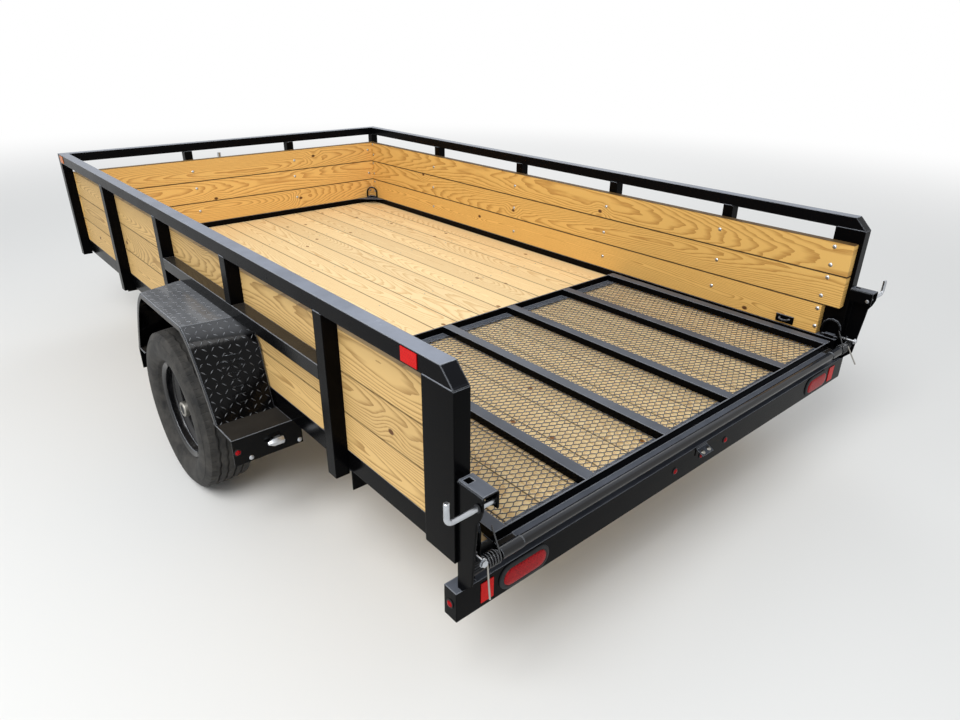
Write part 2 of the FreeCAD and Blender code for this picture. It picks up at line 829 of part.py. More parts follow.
def leaf_spring():
    """Bowed leaves, each shorter than the one above, with an eye at each end of the longest."""
    half = spring_length / 2.0
    y0 = board_outer - spring_width
    steps = [half * (1.0 - leaf_step_share * leaf) for leaf in range(leaf_count)]
    shape = None
    for leaf in range(leaf_count):
        z1 = spring_top - leaf * leaf_thickness
        front = []
        for x in [tie_plate_half] + steps[leaf:][::-1]:
            bow = (x - tie_plate_half) / (half - tie_plate_half)
            front.append((x, z1 + spring_rise * bow ** 2))
        high = [(-x, z) for x, z in front[::-1]] + front
        corners = [(axle_from_rear + x, y0, z) for x, z in high]
        corners = corners + [(x, y, z - leaf_thickness) for x, y, z in corners[::-1]]
        solid = prism(corners, (0, spring_width, 0))
        shape = solid if shape is None else shape.fuse(solid)
    for side in (-1, 1):
        x = axle_from_rear + side * half
        eye = bar((x, y0, spring_eye_height), (x, y0 + spring_width, spring_eye_height), spring_eye_radius)
        bore = bar((x, y0, spring_eye_height), (x, y0 + spring_width, spring_eye_height), spring_bolt_radius)
        shape = shape.fuse(eye).cut(bore)
    return shape


def spring_hangers():
    """Folded steel hangers under the frame rail, one at each eye of the spring."""
    hangers = []
    y0 = board_outer - spring_width - spring_side_gap
    y1 = board_outer + spring_side_gap
    for side in (-1, 1):
        x = axle_from_rear + side * spring_length / 2.0
        pin = bar((x, y0, spring_eye_height), (x, y1, spring_eye_height), spring_bolt_radius)
        hanger = pin
        for y in (y0 - hanger_wall, y1):
            hanger = hanger.fuse(block(x - hanger_half, x + hanger_half, y, y + hanger_wall,
                                       spring_eye_height - hanger_drop, frame_bottom))
        hangers.append(hanger)
    return hangers


def u_bolts():
    """Two square U-bolts round the axle and spring on each side, with a tie plate on top."""
    pieces = []
    y0 = board_outer - spring_width
    reach = u_bolt_radius + spring_side_gap
    top = spring_top + tie_plate_wall
    plate = block(axle_from_rear - tie_plate_half, axle_from_rear + tie_plate_half,
                  y0 - 2.0 * reach, board_outer + 2.0 * reach, spring_top, top)
    bottom = wheel_height - axle_radius - u_bolt_radius
    lift = u_bolt_radius + tie_plate_wall
    for y in (y0 - reach, board_outer + reach):
        x0 = axle_from_rear - axle_radius - reach
        x1 = axle_from_rear + axle_radius + reach
        path = [(x0, y, top + lift), (x0, y, wheel_height - u_bolt_half / 2.0),
                (axle_from_rear - u_bolt_half / 2.0, y, bottom),
                (axle_from_rear + u_bolt_half / 2.0, y, bottom), (x1, y, wheel_height - u_bolt_half / 2.0),
                (x1, y, top + lift)]
        bolt = bent_wire(path, u_bolt_radius, 6)
        plate = plate.cut(bolt)
        pieces.append(bolt)
    return pieces + [plate]


def stadium(x0, x1, middle, half_length, half_height):
    """Plate with round ends on the rear beam, between two planes facing the rear."""
    straight = half_length - half_height
    corners = []
    for side in (1, -1):
        for place in range(bar_sides // 2 + 1):
            angle = 2.0 * math.pi * place / bar_sides
            corners.append((x0, middle + side * (straight + half_height * math.sin(angle)),
                            beam_middle + side * half_height * math.cos(angle)))
    return prism(corners, (x1 - x0, 0, 0))


def tail_lamps():
    x1 = -beam_rear_proud
    return [stadium(x1 - lamp_proud, x1, side * lamp_half_spacing, lamp_half_length, lamp_half_height)
            for side in (1, -1)]


def lamp_grommets():
    x1 = -beam_rear_proud
    rings = []
    for side in (1, -1):
        middle = side * lamp_half_spacing
        outer = stadium(x1 - grommet_proud, x1, middle, lamp_half_length + grommet_border,
                        lamp_half_height + grommet_border)
        rings.append(outer.cut(stadium(x1 - grommet_proud, x1, middle, lamp_half_length, lamp_half_height)))
    return rings


def marker(start, out):
    """Small round lamp in a rim, on a face at start and standing out along out."""
    def part_way(proud):
        return tuple(place + proud * step for place, step in zip(start, out))
    lens = bar(start, part_way(marker_proud), marker_radius)
    return lens.fuse(bar(start, part_way(marker_rim_proud), marker_radius + marker_rim))


def marker_lamps():
    """Red marker lamps on both beam ends, the middle of the beam and both rear brackets."""
    lamps = []
    x0 = -beam_rear_proud
    bracket = fender_middle - fender_outer_halves[-1] - shelf_behind
    room = marker_radius + marker_rim
    for side in (1, -1):
        lamps.append(marker(((beam_front + x0) / 2.0, side * beam_half_length, beam_middle), (0, side, 0)))
        lamps.append(marker((bracket, side * (fender_outer - room - shelf_wall / 3.0),
                             frame_bottom - shelf_height / 2.0), (-1, 0, 0)))
    for place in (-1, 0, 1):
        lamps.append(marker((x0, place * marker_spacing, beam_middle), (-1, 0, 0)))
    return lamps


def red_reflectors():
    x1 = -beam_rear_proud
    pieces = []
    z = rail_bottom + tube_size / 2.0
    for side in (1, -1):
        middle = side * (beam_half_length - beam_reflector_from_end)
        pieces.append(block(x1 - reflector_wall, x1, middle - beam_reflector_width / 2.0,
                            middle + beam_reflector_width / 2.0, beam_middle - beam_reflector_height / 2.0,
                            beam_middle + beam_reflector_height / 2.0))
        y = min(side * half_width, side * (half_width + reflector_wall))
        pieces.append(block(red_reflector_from_rear - rail_reflector_length / 2.0,
                            red_reflector_from_rear + rail_reflector_length / 2.0, y, y + reflector_wall,
                            z - rail_reflector_height / 2.0, z + rail_reflector_height / 2.0))
    return pieces


def amber_reflectors():
    x = bed_length - amber_reflector_from_front
    z = rail_bottom + tube_size / 2.0
    pieces = []
    for y in (half_width, -half_width - reflector_wall):
        pieces.append(block(x - rail_reflector_length / 2.0, x + rail_reflector_length / 2.0,
                            y, y + reflector_wall,
                            z - rail_reflector_height / 2.0, z + rail_reflector_height / 2.0))
    return pieces


def latch_stand():
    """Folded bracket on the end of the rear beam, its head taking the latch pin."""
    edge = [(0, beam_top), (-beam_rear_proud, beam_top)]
    for depth, rise in stand_edge:
        edge.append((-depth * stand_depth, beam_top + rise * stand_height))
    edge = edge + [(-stand_depth, stand_top), (0, stand_top)]
    side = prism([(x, stand_outer - stand_wall, z) for x, z in edge], (0, stand_wall, 0))
    web = block(-stand_wall, 0, stand_inner, stand_outer, beam_top, stand_top)
    head = block(-stand_depth, 0, stand_inner, stand_outer, stand_top - stand_wall, stand_top)
    flange = block(-stand_depth, 0, stand_inner, stand_inner + stand_wall,
                   stand_top - stand_flange_height, stand_top)
    pin_hole = bar((-pin_behind, stand_inner, beam_top + pin_above_beam),
                   (-pin_behind, stand_outer, beam_top + pin_above_beam), pin_radius + pin_clearance)
    bolt_hole = bar((-stand_wall, anchor_y, anchor_height), (0, anchor_y, anchor_height),
                    anchor_radius + pin_clearance)
    slot = block(-slot_rear, -slot_front, stand_inner + slot_from_inner, stand_outer - slot_from_outer,
                 stand_top - stand_wall, stand_top)
    stand = side.fuse(web).fuse(head).fuse(flange).cut(pin_hole).cut(bolt_hole).cut(slot)
    for y, out in ((stand_outer, 1.0), (stand_inner, -1.0)):
        waste = [(-stand_depth, y, stand_top)]
        for place in range(4):
            angle = math.pi * place / 6.0
            waste.append((-stand_depth, y - out * stand_bend * (1.0 - math.sin(angle)),
                          stand_top - stand_bend * (1.0 - math.cos(angle))))
        stand = stand.cut(prism(waste, (stand_depth, 0, 0)))
    return stand.removeSplitter()


def latch_pin():
    """Bent pin through both walls of the stand's head, with its handle turned up outside."""
    x = -pin_behind
    z = beam_top + pin_above_beam
    y1 = stand_outer + pin_outside
    path = [(x, stand_inner - pin_inside, z), (x, y1 - pin_bend, z)]
    for angle in (30.0, 60.0):
        turn = math.radians(angle)
        path.append((x, y1 - pin_bend * (1.0 - math.sin(turn)), z + pin_bend * (1.0 - math.cos(turn))))
    path = path + [(x, y1, z + pin_bend), (x, y1, z + pin_handle)]
    return bent_wire(path, pin_radius, 12)


def hinge_bolt():
    """Bolt in the gate's barrel, thicker where the coil sits, its end on the stand's wall."""
    step = barrel_outer + moving_clearance
    thin = bar((hinge_x, hinge_pipe_half + moving_clearance, hinge_height), (hinge_x, step, hinge_height),
               hinge_radius)
    thick = bar((hinge_x, step, hinge_height), (hinge_x, stand_outer - stand_wall, hinge_height), sleeve_radius)
    return thin.fuse(thick)


def gate_spring():
    """Torsion spring wound on the hinge bolt's sleeve, one leg up and one hanging to the rear."""
    middle = (sleeve_radius + coil_clearance + coil_wire) / math.cos(math.pi / coil_sectors)
    ends = []
    for (x, z), side in ((leg_up, 1.0), (leg_down, -1.0)):
        away = math.hypot(x, z)
        ends.append(math.atan2(z, x) + side * math.acos(middle / away))
    start = ends[0] % (2.0 * math.pi)
    turn = (ends[1] - ends[0]) % (2.0 * math.pi) + 2.0 * math.pi * coil_turns
    steps = int(round(turn / (2.0 * math.pi) * coil_sectors))
    y0 = barrel_outer + coil_from_barrel
    y1 = y0 + coil_pitch * turn / (2.0 * math.pi)
    path = [(hinge_x + leg_up[0], y0, hinge_height + leg_up[1])]
    for step in range(steps + 1):
        share = step / steps
        angle = start + turn * share
        path.append((hinge_x + middle * math.cos(angle), y0 + (y1 - y0) * share,
                     hinge_height + middle * math.sin(angle)))
    path.append((hinge_x + leg_down[0], y1 + leg_outward, hinge_height + leg_down[1]))
    return bent_wire(path, coil_wire, 6)


def anchor_bolt():
    """Long bolt through the front web of the stand, its head to the rear."""
    shaft = bar((-anchor_length, anchor_y, anchor_height), (0, anchor_y, anchor_height), anchor_radius)
    head = hexagon((-anchor_length, anchor_y, anchor_height), (-anchor_head, 0, 0), anchor_head_radius)
    return shaft.fuse(head)


def tie_ring():
    """Boxed plate with a ring lying level, low on the boards near the rear."""
    x = tie_from_rear
    y = board_inner - tie_plate
    z = frame_top + tie_above_frame
    plate = block(x - tie_half_length, x + tie_half_length, y, board_inner,
                  z - tie_half_height, z + tie_half_height)
    path = []
    for place in range(7):
        angle = math.pi * place / 6.0
        path.append((x - tie_ring_radius * math.cos(angle), y - tie_ring_reach * math.sin(angle), z))
    return plate.fuse(bent_wire(path, tie_wire, 6))


def standing_ring(spot):
    """Ring with its straight foot in a clip; spot(along, deep, height) gives its places."""
    radius = standing_ring_radius
    foot = standing_ring_wire
    path = [spot(-radius, 0, foot)]
    for place in range(7):
        angle = math.pi * place / 6.0
        path.append(spot(-radius * math.cos(angle), 0, foot + radius * (1.0 + math.sin(angle))))
    path.append(spot(radius, 0, foot))
    bow = bent_wire(path, standing_ring_wire, 6)
    shank = bent_wire([path[0], path[-1]], standing_ring_wire, 6)
    reach = standing_ring_wire + ring_clip_wall
    clip = prism([spot(-ring_clip_half, -reach, 0), spot(ring_clip_half, -reach, 0),
                  spot(ring_clip_half, reach, 0), spot(-ring_clip_half, reach, 0)], (0, 0, foot + reach))
    return bow.fuse(shank).fuse(clip)


def corner_ring():
    """Gusset between the front and side rails, with a ring standing across the corner."""
    z0 = frame_top
    gusset = prism([(bed_inner_front, board_inner, z0), (bed_inner_front - corner_gusset, board_inner, z0),
                    (bed_inner_front, board_inner - corner_gusset, z0)], (0, 0, -corner_gusset_wall))
    share = math.sqrt(0.5)

    def across(along, deep, height):
        inset = (corner_ring_inset + deep) * share
        return (bed_inner_front - inset - along * share, board_inner - inset + along * share, z0 + height)
    return gusset.fuse(standing_ring(across))


def rear_ring():
    """Ring standing on the frame rail, where the lowest board is cut short."""
    def along_rail(along, deep, height):
        return (rear_ring_from_rear + along, board_inner + rear_ring_from_boards + deep, frame_top + height)
    return standing_ring(along_rail)


def main():
    os.makedirs("parts", exist_ok=True)
    save_both("frame_rails", side_frame_rail())
    save("frame_front", front_frame_rail())
    save("crossmembers", crossmembers())
    save("rear_beam", rear_beam())
    save_both("posts_side", side_posts())
    save("posts_front", front_posts())
    save_pair("top_rail", side_top_rail())
    save("top_rail_front", front_top_rail())
    save_both("mid_rails", mid_rail())
    save("side_boards_left", side_boards(left_board_rear))
    save("side_boards_right", [mirrored(board) for board in side_boards(right_board_rear)])
    save("front_boards", front_boards())
    save("deck_boards", deck_boards())
    save_both("tongue_channels", tongue_member())
    save("coupler", coupler())
    save("coupler_latch", coupler_latch())
    save("jack_tube", jack_tube())
    save("jack_leg", jack_leg())
    save("jack_crank", jack_crank())
    save("axle", axle())
    save_pair("tyre", tyre())
    save_pair("rim", rim())
    save_pair("hub", hub())
    save_pair("lug_nuts", lug_nuts())
    save_pair("fender", fender())
    save_both("fender_brackets", fender_brackets())
    save_both("leaf_springs", leaf_spring())
    save_both("spring_hangers", spring_hangers())
    save_both("u_bolts", u_bolts())
    save("gate_frame", gate_frame())
    save("gate_barrels", gate_barrels())
    save("gate_mesh", gate_mesh())
    save_pair("latch_stand", latch_stand())
    save_both("latch_pins", latch_pin())
    save_both("hinge_bolts", hinge_bolt())
    save_both("coil_springs", gate_spring())
    save_both("anchor_bolts", anchor_bolt())
    save_both("tie_rings", [tie_ring(), corner_ring(), rear_ring()])
    save("tail_lamps", tail_lamps())
    save("lamp_grommets", lamp_grommets())
    save("marker_lamps", marker_lamps())
    save("red_reflectors", red_reflectors())
    save("amber_reflectors", amber_reflectors())


main()
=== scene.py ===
# %% [markdown]
# # An open utility trailer, dressed for its portrait
# The trailer's solids come in at their real size and place. This lesson gives each of them the finish of the
# real material, and adds what is too fine for a solid: the tread of the tyres, the raised bars of the tread
# plate, the diamonds of the ramp's mesh, round wire for the springs, bolts, welds and lamp lenses.

# %% Load the solids
import json
import math
import random
import bmesh
import bpy
from mathutils import Matrix, Vector


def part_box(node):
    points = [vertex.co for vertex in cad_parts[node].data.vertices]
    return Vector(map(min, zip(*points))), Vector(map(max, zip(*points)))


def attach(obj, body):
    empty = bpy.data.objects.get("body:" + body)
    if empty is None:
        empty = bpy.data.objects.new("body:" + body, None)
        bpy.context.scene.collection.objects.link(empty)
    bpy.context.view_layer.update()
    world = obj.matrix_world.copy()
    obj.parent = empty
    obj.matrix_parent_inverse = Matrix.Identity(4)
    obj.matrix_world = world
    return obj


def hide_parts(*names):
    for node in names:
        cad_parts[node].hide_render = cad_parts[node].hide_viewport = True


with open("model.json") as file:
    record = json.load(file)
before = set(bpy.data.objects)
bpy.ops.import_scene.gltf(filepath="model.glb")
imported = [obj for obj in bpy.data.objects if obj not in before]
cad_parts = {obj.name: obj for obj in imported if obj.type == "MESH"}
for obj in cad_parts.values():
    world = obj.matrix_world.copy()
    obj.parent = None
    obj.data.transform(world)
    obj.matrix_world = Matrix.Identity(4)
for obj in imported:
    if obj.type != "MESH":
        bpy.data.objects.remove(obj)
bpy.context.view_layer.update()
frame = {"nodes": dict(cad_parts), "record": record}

# %% [markdown]
# ## The camera
# The view is from behind the left rear corner, a little under two metres up, through a short lens. A camera
# is a place, a direction and a focal length. The direction is built from a compass angle, a tilt and a slight
# roll, and its three axes fill the columns of the camera's matrix.

# %% Camera
focal_pixels = 681.7
picture_width = 960
camera_place = Vector((-3.5323, 1.9756, 1.7623))
heading, tilt, roll = (math.radians(angle) for angle in (-40.93, -25.62, 0.594))
ahead = Vector((math.cos(tilt) * math.cos(heading), math.cos(tilt) * math.sin(heading), math.sin(tilt)))
level_right = Vector((math.sin(heading), -math.cos(heading), 0))
level_up = level_right.cross(ahead)
right = math.cos(roll) * level_right + math.sin(roll) * level_up
up = math.cos(roll) * level_up - math.sin(roll) * level_right
camera = bpy.data.objects.new("camera", bpy.data.cameras.new("camera"))
camera.data.sensor_width = 36
camera.data.lens = focal_pixels / picture_width * camera.data.sensor_width
camera.matrix_world = Matrix.Translation(camera_place) @ Matrix((right, up, -ahead)).transposed().to_4x4()
bpy.context.scene.collection.objects.link(camera)
bpy.context.scene.camera = camera
bpy.context.scene.view_settings.view_transform = "Standard"
print("lens", round(camera.data.lens, 2), "mm")

# %% [markdown]
# ## Colours and nodes
# Colours are written as people pick them, as sRGB hex, while the renderer reckons in linear light. One function
# turns the first into the second. One more adds a node: whatever it is given for a socket is a number, a colour
# or the output of another node, and the rest are settings of the node itself. Every finish is built with these.

# %% Colour and node helpers
def linear(hex_colour):
    """Linear red, green, blue and alpha of an sRGB hex colour."""
    shares = [int(hex_colour[place:place + 2], 16) / 255 for place in (1, 3, 5)]
    return [share / 12.92 if share < 0.04045 else ((share + 0.055) / 1.055) ** 2.4 for share in shares] + [1]


def add_node(finish, kind, given=()):
    """A node with its settings, numbers and links; a number names a socket by its place."""
    node = finish.node_tree.nodes.new(kind)
    for name, value in dict(given).items():
        if isinstance(value, bpy.types.NodeSocket):
            finish.node_tree.links.new(value, node.inputs[name])
        elif isinstance(name, int) or name in node.inputs:
            node.inputs[name].default_value = value
        else:
            setattr(node, name, value)
    return node


def new_finish(name):
    """An empty finish, its shader, and the place on the piece that patterns are laid out by."""
    finish = bpy.data.materials.new(name)
    finish.use_nodes = True
    shader = finish.node_tree.nodes["Principled BSDF"]
    place = add_node(finish, "ShaderNodeTexCoord").outputs["Object"]
    return finish, shader, place


def feed(finish, shader, **given):
    """Link outputs to the shader's sockets, or set their numbers; a socket is named with _ for a space."""
    for name, value in given.items():
        socket = shader.inputs[name.replace("_", " ")]
        if isinstance(value, bpy.types.NodeSocket):
            finish.node_tree.links.new(value, socket)
        else:
            socket.default_value = value


def per_metre(millimetres):
    """Noise scale that puts one patch in so many millimetres."""
    return 1000 / millimetres


print("middle grey in linear light:", round(linear("#808080")[0], 3))

# %% [markdown]
# ## The studio
# A pale floor and a white background keep the eye on the trailer. Black gloss steel shows little colour of its
# own: what gives it form is what it mirrors. So the trailer is lit by a soft dome, with one wide lamp high on
# the left for direction, while the camera, mirrors and clear pieces see plain white where the dome is. Far from
# the trailer the floor turns to the same white for them, so that no horizon cuts the picture.

# %% Sky
def ray_seen(finish):
    """One for a ray that the camera, a mirror or a clear piece sends out, none for a ray that only lights."""
    path = add_node(finish, "ShaderNodeLightPath").outputs
    seen = path["Is Camera Ray"]
    for other in ("Is Glossy Ray", "Is Transmission Ray"):
        seen = add_node(finish, "ShaderNodeMath", {"operation": "MAXIMUM", 0: seen, 1: path[other]}).outputs[0]
    return seen


dome_strength = 0.74
world = bpy.data.worlds.new("studio")
world.use_nodes = True
bpy.context.scene.world = world
dome = world.node_tree.nodes["Background"]
feed(world, dome, Color=linear("#eef1f5"), Strength=dome_strength)
white = add_node(world, "ShaderNodeBackground", {"Color": linear("#ffffff"), "Strength": 1.0})
sky = add_node(world, "ShaderNodeMixShader", {0: ray_seen(world), 1: dome.outputs[0], 2: white.outputs[0]})
feed(world, world.node_tree.nodes["World Output"], Surface=sky.outputs[0])
print("dome at", dome_strength, "of white")

# %% Lamps
lamp_aim = Vector((0, 0, 0.5))
for name, spot, size, power in (("key", (-3.0, 4.5, 6.0), 4.0, 400), ("fill", (4.0, -5.0, 5.0), 5.0, 120)):
    lamp = bpy.data.objects.new(name, bpy.data.lights.new(name, "AREA"))
    lamp.data.size = size
    lamp.data.energy = power
    lamp.location = spot
    lamp.rotation_euler = (lamp_aim - Vector(spot)).to_track_quat("-Z", "Y").to_euler()
    bpy.context.scene.collection.objects.link(lamp)
    print(name, "lamp,", size, "m wide,", power, "W")

# %% Floor
fade_start, fade_end = 3.5, 12.0
floor_reach, floor_depth = 60, 0.0005
floor_finish, floor_shader, floor_place = new_finish("pale_floor")
feed(floor_finish, floor_shader, Base_Color=linear("#dfdfdd"), Roughness=0.85)
distance = add_node(floor_finish, "ShaderNodeVectorMath", {"operation": "LENGTH", 0: floor_place})
far_away = add_node(floor_finish, "ShaderNodeMapRange", {
    "interpolation_type": "SMOOTHSTEP", "From Min": fade_start, "From Max": fade_end,
    "Value": distance.outputs["Value"]})
floor_share = add_node(floor_finish, "ShaderNodeMath", {
    "operation": "MULTIPLY", 0: far_away.outputs[0], 1: ray_seen(floor_finish)})
floor_white = add_node(floor_finish, "ShaderNodeEmission", {"Color": linear("#ffffff"), "Strength": 1.0})
floor_mix = add_node(floor_finish, "ShaderNodeMixShader", {
    0: floor_share.outputs[0], 1: floor_shader.outputs[0], 2: floor_white.outputs[0]})
feed(floor_finish, floor_finish.node_tree.nodes["Material Output"], Surface=floor_mix.outputs[0])
floor_mesh = bpy.data.meshes.new("floor")
floor_corners = [(x * floor_reach, y * floor_reach, -floor_depth)
                 for x, y in ((-1, -1), (1, -1), (1, 1), (-1, 1))]
floor_mesh.from_pydata(floor_corners, [], [(0, 1, 2, 3)])
floor_mesh.materials.append(floor_finish)
floor = bpy.data.objects.new("floor", floor_mesh)
bpy.context.scene.collection.objects.link(floor)
print("floor turns white from", fade_start, "to", fade_end, "m away")

# %% [markdown]
# ## Painted steel
# The frame, posts, rails and gate are welded mild steel with a gloss black powder coat: polyester powder melted
# on, IOR about 1.5. It gives the eye a deep black with soft, slightly rippled reflections, the orange peel that
# the powder leaves. The ripple is 3 mm across on the real coat and is drawn at 8 mm so that it shows. Faces that
# look up take a second colour, most on the top rails: a painted reflection of the sky that they mirror outdoors,
# with some dust.
#
# Rounded corners of tube catch a thin line of sky. The solids are sharp there, so a bevel node rounds the
# shading, and the paint is paled where that rounded direction turns away from the flat face and looks up: a
# painted highlight. Outdoors the upright faces mirror dark ground, while this floor and sky are white. So the
# paint's specular level is set low, which keeps it as black as the real one looks.

# %% Painted steel
# Colour and share of the painted highlight on rounded corners that look up.
edge_glint, glint_share = "#b9bec6", 0.75
corner_start, corner_full = 0.995, 0.94
level_start = 0.7
blotch_size = 220


def painted_steel(name, colour, overlay_colour, sheen_and_dust, roughness, ripple, ripple_height,
                  mirror=0.04, corner=0.005):
    """Paint with a second colour where it faces up, a painted sky reflection with some dusting, a painted
    highlight on rounded corners, and a ripple so many millimetres wide, its height in metres.
    """
    finish, shader, place = new_finish(name)
    grime_and_sheen_blotches = add_node(finish, "ShaderNodeTexNoise", {
        "Scale": per_metre(blotch_size), "Detail": 6, "Roughness": 0.65, "Vector": place})
    rounded = add_node(finish, "ShaderNodeBevel", {"samples": 4, "Radius": corner})
    facing = add_node(finish, "ShaderNodeSeparateXYZ", {0: rounded.outputs[0]})
    # Faces that look up take the overlay colour: a painted sky reflection with some dust, made patchy by the
    # blotches.
    level = add_node(finish, "ShaderNodeMapRange", {
        "From Min": level_start, "From Max": 1.0, "To Max": sheen_and_dust, "Value": facing.outputs["Z"]})
    patchy = add_node(finish, "ShaderNodeMapRange", {
        "From Min": 0.3, "From Max": 0.7, "To Min": 0.7, "To Max": 1.1, "Value": grime_and_sheen_blotches.outputs[0]})
    sheen_and_dust_mask = add_node(finish, "ShaderNodeMath", {
        "operation": "MULTIPLY", "use_clamp": True, 0: level.outputs[0], 1: patchy.outputs[0]})
    sheen_and_dust_mix = add_node(finish, "ShaderNodeMix", {
        "data_type": "RGBA", 0: sheen_and_dust_mask.outputs[0], 6: linear(colour), 7: linear(overlay_colour)})
    flat = add_node(finish, "ShaderNodeNewGeometry").outputs["Normal"]
    agree = add_node(finish, "ShaderNodeVectorMath", {
        "operation": "DOT_PRODUCT", 0: rounded.outputs[0], 1: flat})
    # Painted highlight: where the rounded shading leaves the flat face and looks up, the paint pales towards
    # edge_glint.
    corner_line = add_node(finish, "ShaderNodeMapRange", {
        "From Min": corner_start, "From Max": corner_full, "To Max": glint_share,
        "Value": agree.outputs["Value"]})
    skyward = add_node(finish, "ShaderNodeMath", {
        "operation": "MULTIPLY", "use_clamp": True, 0: corner_line.outputs[0], 1: facing.outputs["Z"]})
    edged = add_node(finish, "ShaderNodeMix", {
        "data_type": "RGBA", 0: skyward.outputs[0], 6: sheen_and_dust_mix.outputs[2], 7: linear(edge_glint)})
    rough = add_node(finish, "ShaderNodeMapRange", {
        "From Min": 0.3, "From Max": 0.75, "To Min": roughness, "To Max": roughness + 0.14,
        "Value": grime_and_sheen_blotches.outputs[0]})
    peel = add_node(finish, "ShaderNodeTexNoise", {"Scale": per_metre(ripple), "Detail": 2, "Vector": place})
    bump = add_node(finish, "ShaderNodeBump", {
        "Strength": 0.3, "Distance": ripple_height, "Height": peel.outputs[0], "Normal": rounded.outputs[0]})
    feed(finish, shader, Base_Color=edged.outputs[2], Roughness=rough.outputs[0], Normal=bump.outputs[0],
         IOR=1.5, Specular_IOR_Level=mirror)
    return finish

# %% Powder coat, paint and enamel
# The coat of frame, posts and gate: black, with blue-grey on what looks up, a painted reflection of the sky with
# some dust.
powder_coat = painted_steel("gloss_black_powder_coat", "#050506", "#868c98", 0.42, 0.15, 8, 0.0005)
# The same coat on the top rails: slate grey from above, a painted reflection of the sky, and black from the side.
sky_sheen_coat = painted_steel("sky_sheen_black_powder_coat", "#08080a", "#8f96a4", 0.75, 0.18, 8, 0.0005)
# The same coat on the mid rails, brackets, barrels and mesh: nearly black, with a dim brownish grey on what looks
# up, a painted reflection of the pine boards with a little dust.
clean_coat = painted_steel("clean_black_powder_coat", "#060607", "#5b564f", 0.25, 0.13, 8, 0.0005, mirror=0.1)
# Paint on rolled tread plate: wet gloss that bends in long waves, because the sheet isn't quite flat; its top is
# paled by a painted reflection of the sky.
plate_paint = painted_steel("black_painted_tread_plate", "#060607", "#a2a5aa", 0.38, 0.07, 22, 0.0016,
                            mirror=0.12)
# The plate's bars are greyer and pale on top, partly scuffed by boots and partly a painted highlight of their
# shine: grey ticks on the black sheet.
bar_paint = painted_steel("scuffed_and_sheen_tread_plate_bars", "#262729", "#b4b7bc", 0.6, 0.14, 6, 0.0003, mirror=0.35)
# Sprayed enamel on the pressed wheels: a hard wet gloss under a little brown dust.
wheel_enamel = painted_steel("gloss_black_wheel_enamel", "#08080a", "#3a3633", 0.3, 0.07, 12, 0.0003, mirror=0.5)
# Brushed satin paint on the axle: an even dull black with no clear mirror.
axle_paint = painted_steel("satin_black_axle_paint", "#131314", "#4d4843", 0.4, 0.42, 8, 0.0005, mirror=0.2)
# Spring wire keeps the black oxide of its heat treatment: thin, tight and shiny along each turn.
spring_paint = painted_steel("black_oxide_spring_steel", "#0b0b0d", "#3c3a38", 0.1, 0.16, 6, 0.0001,
                             mirror=0.7, corner=0.001)
# The hinge pipe is rubbed clean as it turns: black, with one bright line along its length from its gloss, and a
# faint blue-grey along its top, a painted reflection of the sky.
hinge_paint = painted_steel("clean_black_hinge_paint", "#070708", "#5c6068", 0.25, 0.09, 8, 0.0004, mirror=0.35)
print("painted finishes", [finish.name for finish in bpy.data.materials if "black" in finish.name])

# %% [markdown]
# ## Bright zinc
# Pins, bolts, hub caps and the jack are mild steel with an electroplated bright zinc coat. A metal mirrors all
# it gets and tints it, so metallic is 1, the IOR stays at its default and the colour is that of the mirror.
# Handling leaves soft clouds in the shine, some 30 mm across, which are drawn in the roughness.

# %% Zinc
def plated_zinc(name, colour, shade, roughness):
    """Zinc plate with soft clouds of two tints."""
    finish, shader, place = new_finish(name)
    cloud = add_node(finish, "ShaderNodeTexNoise", {"Scale": per_metre(30), "Detail": 5, "Vector": place})
    colours = add_node(finish, "ShaderNodeMix", {
        "data_type": "RGBA", 0: cloud.outputs[0], 6: linear(shade), 7: linear(colour)})
    rough = add_node(finish, "ShaderNodeMapRange", {
        "From Min": 0.3, "From Max": 0.7, "To Min": roughness, "To Max": roughness + 0.2,
        "Value": cloud.outputs[0]})
    feed(finish, shader, Base_Color=colours.outputs[2], Roughness=rough.outputs[0], Metallic=1)
    return finish


# Fresh plate on pins, nuts and bolts: a clear cool silver.
bright_zinc = plated_zinc("bright_zinc_plate", "#d3d6da", "#9a9ea4", 0.22)
# Plate that weather and rubbing have dulled: a softer, warmer grey.
worn_zinc = plated_zinc("weathered_zinc_plate", "#b4b2ab", "#85827b", 0.34)
print("plated finishes", bright_zinc.name, worn_zinc.name)

# %% [markdown]
# ## Pine boards
# The sides are pressure-treated southern pine, dressed to 38 by 140 mm, and the deck is a paler pine. A board is
# cut along a trunk, so its face shows the growth rings sliced at a shallow angle: long streaks and arches, a soft
# pale part and a thin dark line in each. The pattern is made the same way, as rings about a line that wanders
# under the face of each board. Rings are 4 to 6 mm apart in the wood and are drawn at 7.5 mm, as the eye picks
# out only the bolder ones from here. A random number per board moves that line, so no two boards match. Knots
# are dots where a branch grew, and the rings bend round them. The eased edges of the boards hold a line of shade.

# %% Sums in nodes
def work_out(finish, known, steps):
    """Each step names its result, the sum, and the two numbers or earlier results that it takes."""
    for name, operation, first, second in steps:
        known[name] = add_node(finish, "ShaderNodeMath", {
            "operation": operation, 0: known.get(first, first), 1: known.get(second, second)}).outputs[0]

# %% Which board
board_slide = 60.0


